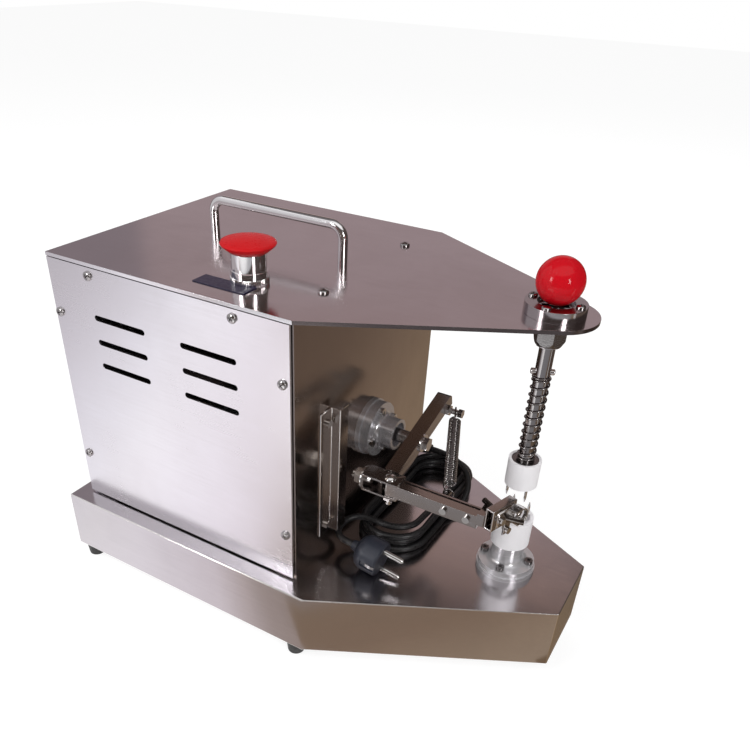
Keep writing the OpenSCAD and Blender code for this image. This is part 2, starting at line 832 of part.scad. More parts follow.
module arm_spring() {
    path = arm_spring_path();
    echo(str("arm spring, least gap between curls in mm: ", least_gap(path, curl_rings - 2, arm_wire)));
    color("dimgray") tube(path, arm_wire / 2, wire_sides, [0, 0, 1]);
}

module blade_arm() {
    groove_y = arm_y + 2.2;
    near_y = arm_y - bar_w / 2;
    far_y = arm_y + bar_w / 2 + 1;
    color("rosybrown") difference() {
        union() {
            translate([hinge_x, arm_y, arm_z - bar_h / 2]) cylinder(r = bar_w / 2, h = bar_h);
            translate([hinge_x, near_y, arm_z - bar_h / 2]) cube([arm_end - hinge_x, bar_w, bar_h]);
            translate([0, 0, arm_z - 1.5]) linear_extrude(11) polygon([
                [arm_end - 0.5, near_y - 1], [holder_back(near_y - 1), near_y - 1],
                [holder_back(far_y), far_y], [arm_end - 0.5, far_y]
            ]);
            translate([hook_x, arm_y + bar_w / 2 - 1, hook_z]) along_y() cylinder(r = 2.2, h = 10.5);
        }
        translate([hinge_x, arm_y, arm_z - bar_h]) cylinder(r = hinge_r + run, h = 2 * bar_h);
        translate([hinge_x + 12, groove_y, arm_z + bar_h / 2 - 3]) cube([arm_end - hinge_x - 12, 2.4, 4]);
        for (x = arm_screw_x()) translate([x, near_y - 1, arm_z]) along_y() cylinder(d = 3.2, h = 7);
    }
}

// Clamp screws on the near face of the blade arm
function arm_screw_x() = [126, 146];
// Screws that clamp the blade, as places along the holder and in Z
function clip_screw_yz() = [[9, 159], [18.5, 146]];
// X of the holder's back face at a given Y
function holder_back(y) = holder_x + (y - holder_y) * tan(holder_turn);

// Frame of the holder: X out of its face, Y along it
module on_holder() { translate([holder_x, holder_y, 0]) rotate(-holder_turn) children(); }

module blade_holder() {
    wall = 1.5;
    color("rosybrown") on_holder() difference() {
        union() {
            difference() {
                translate([0, 0, holder_z]) cube([holder_w, holder_len, holder_h]);
                translate([wall, -1, holder_z + wall])
                    cube([holder_w - 2 * wall, holder_len + 2, holder_h - 2 * wall]);
            }
            translate([holder_w, 5.5, holder_z + 2]) cube([1.6, 21, 14]);
            translate([holder_w, 14.5, holder_z - 9]) cube([1.6, 8, 12]);
            translate([holder_w, 15.5, 157]) rotate([0, 90, 32]) cylinder(r = 2, h = 15);
            translate([1, 9, 166]) rotate([0, -90, -14]) cylinder(r = 2.3, h = 13);
        }
        for (p = clip_screw_yz()) translate([holder_w - 3, p[0], p[1]]) along_x() cylinder(d = 3.2, h = 8);
    }
}

module peeling_blade() {
    edge_x = holder_w + 1.6;
    blade_w = 8;
    color("silver") on_holder() difference() {
        union() {
            intersection() {
                translate([edge_x, blade_y, blade_z]) along_x() ring(blade_r, blade_r - 1.2, blade_w);
                translate([edge_x - 1, blade_y, blade_z - 20]) cube([blade_w + 2, 20, 40]);
            }
            translate([edge_x, blade_y - 8, blade_z + blade_r - 1.2]) cube([blade_w, 8.01, 1.2]);
            translate([edge_x, blade_y - 4, blade_z - blade_r]) cube([blade_w, 4.01, 1.2]);
        }
        translate([edge_x + 3, blade_y + 2, blade_z - 5.5]) cube([2, 10, 11]);
    }
}

module holder_screws() {
    near_y = arm_y - bar_w / 2;
    color("silver") {
        for (x = arm_screw_x()) translate([x, near_y, arm_z]) rotate([90, 0, 0]) screw(3, 3, 2.2, 5);
        on_holder() for (p = clip_screw_yz()) translate([holder_w + 1.6, p[0], p[1]])
            along_x() screw(3, 2.9, 2.4, 4);
    }
}

module lift_shaft() {
    color("silver") translate([spin_x, 0, 0]) difference() {
        translate([0, 0, chuck_z + 6]) cylinder(r = shaft_r, h = ball_z - 8 - chuck_z - 6);
        translate([0, 0, pin_z]) rotate(pin_angle) along_x()
            cylinder(r = pin_r + 0.02, h = 40, center = true);
    }
}

module ball_knob() {
    color("red") translate([spin_x, 0, 0]) difference() {
        translate([0, 0, ball_z]) sphere(d = ball_d);
        translate([0, 0, ball_z - 30]) cylinder(r = shaft_r + 0.03, h = 22.05);
    }
}

module cross_pin() {
    color("silver") translate([spin_x, 0, pin_z]) rotate(pin_angle) along_x()
        cylinder(r = pin_r, h = pin_len, center = true);
}

// Compression spring on the lift shaft, its end curls closed up
function lift_spring_path() =
    let (
        ends = 1.25, closed = lift_wire + 0.5,
        open = (lift_high - lift_low - 2 * ends * closed) / (lift_curls - 2 * ends)
    )
    [for (i = [0 : lift_curls * lift_rings]) let (
        t = i / lift_rings, low = min(t, ends), high = max(t - lift_curls + ends, 0), mid = t - low - high)
        [
            spin_x + lift_coil_r * cos(360 * t), lift_coil_r * sin(360 * t),
            lift_low + closed * (low + high) + open * mid
        ]];

module lift_spring() {
    path = lift_spring_path();
    echo(str("lift spring, least gap between curls in mm: ", least_gap(path, lift_rings - 2, lift_wire)));
    color("dimgray") tube(path, lift_wire / 2, wire_sides, [0, 0, 1]);
}

module chuck_bearing() {
    color("dimgray") translate([spin_x, 0, chuck_z + chuck_h - bearing_h])
        ring(bearing_r - run, shaft_r + 0.02, bearing_h - 0.6);
}

// Prongs in a circle, pointing along Z from z = 0 to their tips
module prongs(count, circle_r, r, h, first) {
    for (k = [0 : count - 1]) rotate(first + 360 * k / count) translate([circle_r, 0, 0]) {
        cylinder(r = r, h = h - 4);
        translate([0, 0, h - 4]) cylinder(r1 = r, r2 = 0.3, h = 4);
    }
}

module chuck() {
    color("white") translate([spin_x, 0, chuck_z]) difference() {
        cylinder(d = chuck_d, h = chuck_h);
        translate([0, 0, chuck_h - bearing_h - 0.3]) cylinder(r = bearing_r, h = 20);
        translate([0, 0, 5]) cylinder(r = shaft_r + 0.4, h = 40);
        for (k = [0 : 2]) rotate(200 + 120 * k) translate([9.8, 0, -1]) cylinder(r = prong_r + 0.05, h = 4.2);
    }
}

module chuck_prongs() {
    color("gray") translate([spin_x, 0, chuck_z + 3]) mirror([0, 0, 1])
        prongs(3, 9.8, prong_r, chuck_z + 3 - chuck_prong_z, 200);
}

module fork_cup() {
    color("white") translate([spin_x, 0, cup_z]) difference() {
        cylinder(d = cup_d, h = cup_h);
        translate([0, 0, cup_h - cup_recess_d]) cylinder(r = cup_recess_r, h = 20);
        translate([0, 0, -1]) cylinder(r = shaft_r + 0.02, h = 17);
        for (k = [0 : 3]) rotate(fork_prong_a + 90 * k) translate([fork_prong_r, 0, prong_root])
            cylinder(r = prong_r + 0.05, h = 20);
    }
}

module fork_prongs() {
    root = cup_z + prong_root + 0.2;
    color("gray") translate([spin_x, 0, root])
        prongs(4, fork_prong_r, prong_r, fork_prong_z - root, fork_prong_a);
}

module cord_gland() {
    color("black") translate([front_x, gland_y, gland_z]) along_x() difference() {
        union() {
            translate([0, 0, -11]) cylinder(r = 8, h = 12);
            translate([0, 0, -8]) hex(20, 5.8);
            hex(19, 6);
            translate([0, 0, 6]) cylinder(r1 = 8, r2 = 4.6, h = gland_end - front_x - 6);
        }
        translate([0, 0, -12]) cylinder(r = cord_r + 0.05, h = 60);
    }
}

module power_cord() {
    color("black") tube(concat(cord_route, [coil_in()]), cord_r, cord_sides, [0, 0, 1]);
}

// Coil laid as a long loop: it winds in, out and in again, each time a layer higher.
// A turn runs along the right side, round the near end, along the left side and round the far end.
function coil_wound(m) = m <= coil_run ? m : m <= 2 * coil_run ? 2 * coil_run - m : m - 2 * coil_run;
function coil_radius(t) = coil_r - coil_step * coil_wound(t - coil_from);
function coil_climb(m) =
    smooth((m - coil_run + 0.25) / 0.5) + smooth((m - 2 * coil_run + 0.25) / 0.5) +
    smooth((m - 3 * coil_run + 0.33) / 0.33);
function coil_height(t) = cord_low + coil_layer * coil_climb(t - coil_from);
function coil_angle(u) =
    u < coil_long ? 0 :
    u < 0.5 ? -180 * (u - coil_long) / coil_arc :
    u < 0.5 + coil_long ? -180 :
    -180 - 180 * (u - 0.5 - coil_long) / coil_arc;
function coil_core(u) =
    u < coil_long ? coil_far + (coil_near - coil_far) * u / coil_long :
    u < 0.5 ? coil_near :
    u < 0.5 + coil_long ? coil_near + (coil_far - coil_near) * (u - 0.5) / coil_long :
    coil_far;
function coil_point(t) =
    let (u = t - floor(t), a = coil_angle(u), r = coil_radius(t))
    [coil_x + r * cos(a), coil_core(u) + r * sin(a), coil_height(t)];
function coil_grid() = [for (h = [0, 0.5]) each concat(
    [for (i = [0 : 2]) h + coil_long * i / 3], [for (i = [0 : 9]) h + coil_long + coil_arc * i / 10])];
function coil_times() = concat(
    [coil_from],
    [for (k = [0 : 4]) for (u = coil_grid()) if (k + u > coil_from + 0.01 && k + u < coil_to - 0.01) k + u],
    [coil_to]
);
function coil_in() = coil_point(coil_from) + [0, cord_d, 0];
function coil_out() =
    let (a = coil_angle(coil_to - floor(coil_to)))
    coil_point(coil_to) + cord_d * [sin(a), -cos(a), 0];
function coil_path() = concat([coil_in()], [for (t = coil_times()) coil_point(t)], [coil_out()]);

module cord_coil() {
    path = coil_path();
    echo(str("cord coil, least gap between turns in mm: ", least_gap(path, 6, cord_d)));
    color("black") tube(path, cord_r, wire_sides, [0, 0, 1]);
}

// The last turn's end swings round and comes back to the plug
function lead_path() =
    let (from = coil_out(), r = (from[1] - plug_y) / 2)
    concat(
        [from],
        [for (i = [0 : 8]) let (a = 90 + 22.5 * i)
            [lead_x + r * cos(a), plug_y + r + r * sin(a), from[2] - lead_drop[i]]],
        [[plug_back_x, plug_y, plug_back_z]]
    );

module plug_lead() { color("black") tube(lead_path(), cord_r, cord_sides, [0, 0, 1]); }

// Frame of the plug: Z along its axis from the cord end to the face
module on_plug() { translate([plug_back_x, plug_y, plug_back_z]) rotate([0, 90 + plug_tilt, 0]) children(); }

module plug_body() {
    color("darkslategray") on_plug() difference() {
        rotate_extrude() polygon([
            [0, 0], [4.2, 0], [5.6, 5], [10, 6.6], [plug_r - 2.6, 9], [plug_r - 0.7, 12], [plug_r, 15],
            [plug_r, plug_len - 1.5], [plug_r - 1.5, plug_len], [0, plug_len]
        ]);
        for (s = [-1, 1]) translate([s * pin_gap / 2, 0, plug_len - 9]) cylinder(r = 2.45, h = 20);
        for (s = [-1, 1]) translate([-3, s * plug_r - 1.6, plug_len - 14]) cube([6, 3.2, 20]);
    }
}

module plug_pins() {
    color("silver") on_plug() for (s = [-1, 1]) translate([s * pin_gap / 2, 0, plug_len]) {
        translate([0, 0, -8.5]) cylinder(r = 2.4, h = 25.5);
        translate([0, 0, 17]) cylinder(r1 = 2.4, r2 = 1.4, h = 2);
    }
}

base_tray();
bottom_cover();
rubber_feet();
front_panel();
rear_panel();
left_side_cover();
right_side_cover();
cover_screws();
top_plate();
top_screws();
carry_handle();
handle_screws();
legend_plate();
button_bezel();
switch_block();
stop_button();
guide_bush();
bush_nut();
bush_screws();
panel_bracket();
panel_screws();
sweep_housing();
fork_housing();
fork_housing_screws();
spin_motor();
drive_belt();
motor_pulley();
sweep_gearmotor();
gearmotor_bracket();
drive_pinion();
sweep_gear();
sweep_shaft();
sweep_lever();
lever_bolt();
eye_stud();
hinge_bolt();
stop_screw();
arm_spring();
blade_arm();
blade_holder();
peeling_blade();
holder_screws();
lift_shaft();
ball_knob();
cross_pin();
lift_spring();
chuck_bearing();
chuck();
chuck_prongs();
fork_cup();
fork_prongs();
fork_shaft();
fork_pulley();
cord_gland();
power_cord();
cord_coil();
plug_lead();
plug_body();
plug_pins();
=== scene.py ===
import json
import math

import bmesh
import bpy
from mathutils import Matrix, Vector

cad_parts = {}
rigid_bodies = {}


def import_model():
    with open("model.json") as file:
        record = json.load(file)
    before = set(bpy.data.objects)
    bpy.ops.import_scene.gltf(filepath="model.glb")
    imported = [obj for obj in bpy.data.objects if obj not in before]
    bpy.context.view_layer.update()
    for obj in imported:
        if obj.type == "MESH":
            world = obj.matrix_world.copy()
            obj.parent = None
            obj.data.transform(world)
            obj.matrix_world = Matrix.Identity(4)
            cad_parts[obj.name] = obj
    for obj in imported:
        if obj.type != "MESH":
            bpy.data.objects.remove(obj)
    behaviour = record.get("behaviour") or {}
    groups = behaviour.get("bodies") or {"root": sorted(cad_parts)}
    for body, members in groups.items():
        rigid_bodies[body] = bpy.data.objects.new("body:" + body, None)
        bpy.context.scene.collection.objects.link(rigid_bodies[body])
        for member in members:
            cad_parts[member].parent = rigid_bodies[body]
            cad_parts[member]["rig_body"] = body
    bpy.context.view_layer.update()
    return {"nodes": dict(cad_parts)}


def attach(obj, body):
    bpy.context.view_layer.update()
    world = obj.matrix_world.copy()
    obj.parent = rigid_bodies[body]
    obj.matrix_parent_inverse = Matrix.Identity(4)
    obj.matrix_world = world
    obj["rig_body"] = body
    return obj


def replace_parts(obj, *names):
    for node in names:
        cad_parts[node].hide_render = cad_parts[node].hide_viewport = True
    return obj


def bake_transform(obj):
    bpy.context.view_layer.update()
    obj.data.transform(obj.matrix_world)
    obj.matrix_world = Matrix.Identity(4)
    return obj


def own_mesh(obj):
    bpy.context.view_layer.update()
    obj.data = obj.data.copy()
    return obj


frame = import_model()
cad = frame["nodes"]
scene = bpy.context.scene
scene.view_settings.view_transform = "Standard"
print("frame loaded,", len(cad), "nodes")


# camera fitted to the photograph: place in mm, then the three directions
photoCamera = {
    "place": (298.989, -518.057, 522.340),
    "right": (0.85644981, 0.51533367, 0.03041268),
    "up": (-0.3175537, 0.47947306, 0.81808632),
    "forward": (-0.40700537, 0.71030753, -0.57429073),
    "focalPixels": 760.231,
    "axisPixel": (346.450, 477.617),
    "framePixels": 750,
}


def inScene(name, data):
    obj = bpy.data.objects.new(name, data)
    scene.collection.objects.link(obj)
    return obj


def makeCamera(s):
    data = bpy.data.cameras.new("photoCamera")
    data.sensor_width = 36
    data.lens = s["focalPixels"] * 36 / s["framePixels"]
    data.shift_x = 0.5 - s["axisPixel"][0] / s["framePixels"]
    data.shift_y = s["axisPixel"][1] / s["framePixels"] - 0.5
    data.clip_start = 0.02
    camera = inScene("photoCamera", data)
    turn = Matrix((s["right"], s["up"], [-x for x in s["forward"]])).transposed()
    camera.matrix_world = Matrix.Translation(Vector(s["place"]) / 1000) @ turn.to_4x4()
    scene.camera = camera


makeCamera(photoCamera)
print("camera set")


def groupSockets(group, inputs, outputs):
    for kind, name, value in inputs:
        socket = group.interface.new_socket(name, in_out="INPUT", socket_type="NodeSocket" + kind)
        if value is not None:
            socket.default_value = value
    for kind, name in outputs:
        group.interface.new_socket(name, in_out="OUTPUT", socket_type="NodeSocket" + kind)
    return group.nodes.new("NodeGroupInput"), group.nodes.new("NodeGroupOutput")


def addNode(tree, kind, wires=None, **settings):
    node = tree.nodes.new(kind)
    for key, value in settings.items():
        setattr(node, key, value)
    for socket, value in (wires or {}).items():
        target = node.inputs[socket]
        if isinstance(value, bpy.types.NodeSocket):
            tree.links.new(value, target)
        else:
            target.default_value = value
    return node


def mixColours(tree, factor, first, second):
    node = addNode(tree, "ShaderNodeMix", {0: factor, 6: first, 7: second}, data_type="RGBA")
    return node.outputs[2]


# streaks drawn out along one direction, with cloudy smudges over them
def buildDrawnGrain():
    group = bpy.data.node_groups.new("drawnGrain", "ShaderNodeTree")
    enter, leave = groupSockets(
        group,
        [("Vector", "Vector", None), ("Vector", "Stretch", (1, 1, 1)),
         ("Float", "Streak Low", 0.2), ("Float", "Streak High", 0.3),
         ("Color", "Light", (0.7, 0.7, 0.7, 1)), ("Color", "Dark", (0.6, 0.6, 0.6, 1)),
         ("Float", "Smudge Scale", 9.0)],
        [("Color", "Color"), ("Float", "Roughness"), ("Float", "Height")],
    )
    stretched = addNode(group, "ShaderNodeMapping",
                        {"Vector": enter.outputs["Vector"], "Scale": enter.outputs["Stretch"]})
    streak = addNode(group, "ShaderNodeTexNoise",
                     {"Vector": stretched.outputs[0], "Scale": 1.0, "Detail": 5.0, "Roughness": 0.65})
    smudge = addNode(group, "ShaderNodeTexNoise",
                     {"Vector": enter.outputs["Vector"], "Scale": enter.outputs["Smudge Scale"],
                      "Detail": 4.0, "Roughness": 0.6, "Distortion": 0.4})
    cloud = addNode(group, "ShaderNodeMapRange",
                    {"Value": smudge.outputs["Fac"], "From Min": 0.35, "From Max": 0.7})
    both = addNode(group, "ShaderNodeMath", {0: streak.outputs["Fac"], 1: cloud.outputs["Result"]},
                   operation="ADD")
    half = addNode(group, "ShaderNodeMath", {0: both.outputs[0], 1: 0.5}, operation="MULTIPLY")
    tone = mixColours(group, half.outputs[0], enter.outputs["Light"], enter.outputs["Dark"])
    rough = addNode(group, "ShaderNodeMapRange",
                    {"Value": half.outputs[0], "From Min": 0.2, "From Max": 0.8,
                     "To Min": enter.outputs["Streak Low"], "To Max": enter.outputs["Streak High"]})
    group.links.new(tone, leave.inputs["Color"])
    group.links.new(rough.outputs["Result"], leave.inputs["Roughness"])
    group.links.new(streak.outputs["Fac"], leave.inputs["Height"])
    return group


# fine rings left by the lathe round an axis through Centre
def buildLatheRings():
    group = bpy.data.node_groups.new("latheRings", "ShaderNodeTree")
    enter, leave = groupSockets(
        group,
        [("Vector", "Vector", None), ("Vector", "Centre", (0, 0, 0)), ("Vector", "Across", (1, 1, 0)),
         ("Vector", "Along", (0, 0, 1)), ("Float", "Density", 1500.0)],
        [("Float", "Ring")],
    )
    local = addNode(group, "ShaderNodeVectorMath", {0: enter.outputs["Vector"], 1: enter.outputs["Centre"]},
                    operation="SUBTRACT")
    flat = addNode(group, "ShaderNodeVectorMath", {0: local.outputs[0], 1: enter.outputs["Across"]},
                   operation="MULTIPLY")
    reach = addNode(group, "ShaderNodeVectorMath", {0: flat.outputs[0]}, operation="LENGTH")
    height = addNode(group, "ShaderNodeVectorMath", {0: local.outputs[0], 1: enter.outputs["Along"]},
                     operation="DOT_PRODUCT")
    spot = addNode(group, "ShaderNodeCombineXYZ",
                   {"X": reach.outputs["Value"], "Y": height.outputs["Value"]})
    ring = addNode(group, "ShaderNodeTexNoise",
                   {"Vector": spot.outputs[0], "Scale": enter.outputs["Density"], "Detail": 3.0,
                    "Roughness": 0.6})
    group.links.new(ring.outputs["Fac"], leave.inputs["Ring"])
    return group


# small scratches and rubbed spots as a mask
def buildHandledWear():
    group = bpy.data.node_groups.new("handledWear", "ShaderNodeTree")
    enter, leave = groupSockets(
        group,
        [("Vector", "Vector", None), ("Float", "Scale", 60.0), ("Float", "Amount", 0.5)],
        [("Float", "Mask"), ("Float", "Height")],
    )
    bend = addNode(group, "ShaderNodeTexNoise",
                   {"Vector": enter.outputs["Vector"], "Scale": enter.outputs["Scale"], "Detail": 2.0})
    shifted = addNode(group, "ShaderNodeVectorMath",
                      {0: bend.outputs["Color"], 1: (0.004, 0.004, 0.004), 2: enter.outputs["Vector"]},
                      operation="MULTIPLY_ADD")
    cells = addNode(group, "ShaderNodeTexVoronoi",
                    {"Vector": shifted.outputs[0], "Scale": enter.outputs["Scale"]},
                    feature="DISTANCE_TO_EDGE")
    line = addNode(group, "ShaderNodeMapRange",
                   {"Value": cells.outputs["Distance"], "From Min": 0.0, "From Max": 0.03, "To Min": 1.0,
                    "To Max": 0.0})
    patch = addNode(group, "ShaderNodeMapRange",
                    {"Value": bend.outputs["Fac"], "From Min": 0.5, "From Max": 0.7})
    spots = addNode(group, "ShaderNodeMath", {0: line.outputs["Result"], 1: patch.outputs["Result"]},
                    operation="MULTIPLY")
    mask = addNode(group, "ShaderNodeMath", {0: spots.outputs[0], 1: enter.outputs["Amount"]},
                   operation="MULTIPLY")
    group.links.new(mask.outputs[0], leave.inputs["Mask"])
    group.links.new(bend.outputs["Fac"], leave.inputs["Height"])
    return group


drawnGrain = buildDrawnGrain()
latheRings = buildLatheRings()
handledWear = buildHandledWear()


def startMaterial(name):
    material = bpy.data.materials.new(name)
    material.use_nodes = True
    tree = material.node_tree
    shader = tree.nodes["Principled BSDF"]
    place = tree.nodes.new("ShaderNodeTexCoord").outputs["Object"]
    return material, tree, shader, place


def addBump(tree, shader, height, strength, distance=0.0002):
    bump = addNode(tree, "ShaderNodeBump", {"Height": height, "Strength": strength, "Distance": distance})
    tree.links.new(bump.outputs[0], shader.inputs["Normal"])


def metalSheet(name, light, dark, stretch, low, high, bump=0.006):
    material, tree, shader, place = startMaterial(name)
    grain = addNode(tree, "ShaderNodeGroup", node_tree=drawnGrain)
    tree.links.new(place, grain.inputs["Vector"])
    grain.inputs["Stretch"].default_value = stretch
    grain.inputs["Streak Low"].default_value = low
    grain.inputs["Streak High"].default_value = high
    grain.inputs["Light"].default_value = (*light, 1)
    grain.inputs["Dark"].default_value = (*dark, 1)
    shader.inputs["Metallic"].default_value = 1
    tree.links.new(grain.outputs["Color"], shader.inputs["Base Color"])
    tree.links.new(grain.outputs["Roughness"], shader.inputs["Roughness"])
    addBump(tree, shader, grain.outputs["Height"], bump)
    return material


def turnedMetal(name, light, dark, centre, across, along, low, high, density=1500, metal=1.0, bump=0.03):
    material, tree, shader, place = startMaterial(name)
    ring = addNode(tree, "ShaderNodeGroup", node_tree=latheRings)
    tree.links.new(place, ring.inputs["Vector"])
    ring.inputs["Centre"].default_value = Vector(centre) / 1000
    ring.inputs["Across"].default_value = across
    ring.inputs["Along"].default_value = along
    ring.inputs["Density"].default_value = density
    tone = mixColours(tree, ring.outputs["Ring"], (*light, 1), (*dark, 1))
    rough = addNode(tree, "ShaderNodeMapRange",
                    {"Value": ring.outputs["Ring"], "From Min": 0.3, "From Max": 0.7, "To Min": low,
                     "To Max": high})
    shader.inputs["Metallic"].default_value = metal
    tree.links.new(tone, shader.inputs["Base Color"])
    tree.links.new(rough.outputs["Result"], shader.inputs["Roughness"])
    addBump(tree, shader, ring.outputs["Ring"], bump)
    return material


def moulded(name, light, dark, low, high, scale, bump, scuffs, gloss=0.5):
    material, tree, shader, place = startMaterial(name)
    handled = addNode(tree, "ShaderNodeGroup", node_tree=handledWear)
    tree.links.new(place, handled.inputs["Vector"])
    handled.inputs["Scale"].default_value = scale
    handled.inputs["Amount"].default_value = scuffs
    clouds = addNode(tree, "ShaderNodeTexNoise", {"Vector": place, "Scale": scale / 5, "Detail": 4.0})
    tone = mixColours(tree, clouds.outputs["Fac"], (*light, 1), (*dark, 1))
    tree.links.new(tone, shader.inputs["Base Color"])
    rough = addNode(tree, "ShaderNodeMapRange",
                    {"Value": handled.outputs["Height"], "From Min": 0.35, "From Max": 0.65, "To Min": low,
                     "To Max": high})
    total = addNode(tree, "ShaderNodeMath", {0: rough.outputs["Result"], 1: handled.outputs["Mask"]},
                    operation="ADD", use_clamp=True)
    tree.links.new(total.outputs[0], shader.inputs["Roughness"])
    shader.inputs["Specular IOR Level"].default_value = gloss
    addBump(tree, shader, handled.outputs["Height"], bump)
    return material


spindleAxis = ((168, 0, 0), (1, 1, 0), (0, 0, 1))
sweepAxis = ((0, 0, 169.5), (0, 1, 1), (1, 0, 0))
# sheet and bar: light and dark tone, stretch of the grain, least and most roughness
sheetLooks = {
    "topSheet": ((0.66, 0.60, 0.61), (0.56, 0.50, 0.51), (18, 420, 420), 0.12, 0.22),
    "sideSheet": ((0.90, 0.88, 0.92), (0.82, 0.79, 0.82), (16, 400, 400), 0.18, 0.30),
    "baseSheet": ((0.72, 0.69, 0.71), (0.60, 0.57, 0.59), (16, 400, 400), 0.13, 0.22),
    # painted shade: the front panel's steel, made darker and browner than the other sheets
    "panelSheet": ((0.50, 0.44, 0.40), (0.40, 0.34, 0.31), (400, 400, 16), 0.12, 0.22),
    "plainSheet": ((0.62, 0.60, 0.60), (0.54, 0.52, 0.52), (20, 300, 300), 0.25, 0.4),
    "bracketSheet": ((0.50, 0.45, 0.42), (0.40, 0.35, 0.32), (500, 500, 20), 0.14, 0.24),
    "barSteel": ((0.46, 0.43, 0.42), (0.34, 0.31, 0.30), (40, 40, 40), 0.12, 0.24),
    "brightSteel": ((0.74, 0.73, 0.72), (0.62, 0.61, 0.60), (300, 300, 300), 0.1, 0.22),
    "chromeRod": ((0.92, 0.90, 0.91), (0.82, 0.80, 0.81), (200, 200, 200), 0.08, 0.15),
    "springSteel": ((0.40, 0.38, 0.38), (0.24, 0.225, 0.22), (200, 200, 200), 0.1, 0.22),
    # painted highlight: near-white steel for the broken edges of the base, bracket, lever, arm and holder
    "rubbedEdge": ((0.95, 0.93, 0.92), (0.82, 0.79, 0.78), (60, 60, 60), 0.12, 0.24),
    "screwSteel": ((0.52, 0.50, 0.50), (0.38, 0.36, 0.36), (300, 300, 300), 0.08, 0.2),
    # painted shade: near-black steel for the top plate's nose rim and the lining of the screws' cross recesses
    "paintedShadeSteel": ((0.16, 0.135, 0.135), (0.11, 0.09, 0.09), (60, 60, 600), 0.2, 0.35),
}
# turned metal: light and dark tone, lathe axis, least and most roughness, rings per metre, how metallic
turnedLooks = {
    "bushSteel": ((0.52, 0.49, 0.50), (0.42, 0.39, 0.40), *spindleAxis, 0.12, 0.2, 2200),
    "darkSteel": ((0.30, 0.29, 0.29), (0.20, 0.19, 0.19), *spindleAxis, 0.2, 0.36),
    "shaftSteel": ((0.38, 0.365, 0.365), (0.27, 0.255, 0.255), *spindleAxis, 0.06, 0.14, 3000),
    "sweepSteel": ((0.55, 0.54, 0.54), (0.42, 0.41, 0.41), *sweepAxis, 0.15, 0.3, 2500),
    "forkAluminium": ((0.72, 0.71, 0.73), (0.68, 0.67, 0.69), *spindleAxis, 0.22, 0.28, 1500, 0.6),
    "bossAluminium": ((0.62, 0.61, 0.63), (0.57, 0.56, 0.58), *sweepAxis, 0.18, 0.25, 1500, 0.75),
    "gearBrass": ((0.72, 0.56, 0.26), (0.6, 0.45, 0.2), *sweepAxis, 0.25, 0.4),
}
# mouldings and paint: light and dark tone, least and most roughness, scale, bump, scuffs, gloss
mouldedLooks = {
    "redGloss": ((0.58, 0.006, 0.014), (0.50, 0.004, 0.010), 0.05, 0.11, 160, 0.02, 0.12, 0.22),
    "redSatin": ((0.60, 0.010, 0.014), (0.52, 0.007, 0.010), 0.26, 0.38, 260, 0.05, 0.2, 0.1),
    "whiteNylon": ((0.92, 0.90, 0.925), (0.87, 0.85, 0.87), 0.35, 0.5, 300, 0.06, 0.2),
    "blackRubber": ((0.022, 0.021, 0.021), (0.034, 0.032, 0.031), 0.45, 0.65, 400, 0.12, 0.2),
    "cordSheath": ((0.012, 0.012, 0.013), (0.02, 0.019, 0.02), 0.26, 0.4, 500, 0.05, 0.1),
    "blackPlastic": ((0.018, 0.018, 0.02), (0.03, 0.03, 0.032), 0.28, 0.42, 350, 0.06, 0.2),
    "plugRubber": ((0.018, 0.021, 0.033), (0.028, 0.031, 0.045), 0.34, 0.5, 350, 0.08, 0.2),
    "motorPaint": ((0.2, 0.22, 0.24), (0.26, 0.28, 0.3), 0.3, 0.45, 200, 0.05, 0.3),
    "bluePlate": ((0.014, 0.010, 0.036), (0.022, 0.017, 0.05), 0.3, 0.42, 300, 0.04, 0.25),
}
looks = {name: metalSheet(name, *values) for name, values in sheetLooks.items()}
looks.update({name: turnedMetal(name, *values) for name, values in turnedLooks.items()})
looks.update({name: moulded(name, *values) for name, values in mouldedLooks.items()})
print("materials made,", len(looks))


def wear(obj, look):
    obj.data.materials.clear()
    obj.data.materials.append(looks[look])
    return obj


def smoothBy(mesh, degrees):
    mesh.polygons.foreach_set("use_smooth", [True] * len(mesh.polygons))
    mesh.set_sharp_from_angle(angle=math.radians(degrees))


def meshObject(name, bm, look, degrees=35):
    mesh = bpy.data.meshes.new(name)
    bmesh.ops.recalc_face_normals(bm, faces=bm.faces)
    bm.to_mesh(mesh)
    bm.free()
    smoothBy(mesh, degrees)
    return wear(inScene(name, mesh), look)


def evaluatedMesh(obj):
    bpy.context.view_layer.update()
    view = bpy.context.evaluated_depsgraph_get()
    return bpy.data.meshes.new_from_object(obj.evaluated_get(view), depsgraph=view)


# closed rows of points joined by faces, each row to the next
def bridgeRows(bm, rows):
    for a, b in zip(rows, rows[1:]):
        for k in range(len(a)):
            n = (k + 1) % len(a)
            bm.faces.new((a[k], a[n], b[n], b[k]))


def applied(obj):
    mesh = evaluatedMesh(obj)
    obj.modifiers.clear()
    obj.data = mesh
    return obj


def rideWith(obj, node):
    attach(obj, cad[node]["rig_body"])
    return obj


def standFor(obj, node):
    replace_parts(rideWith(obj, node), node)
    return obj


# long straight edges only, so that holes keep their rims
def markLongEdges(bm, degrees, least=0.004):
    weight = bm.edges.layers.float.new("bevel_weight_edge")
    for edge in bm.edges:
        if edge.is_manifold and edge.calc_length() > least and edge.calc_face_angle() > math.radians(degrees):
            edge[weight] = 1.0
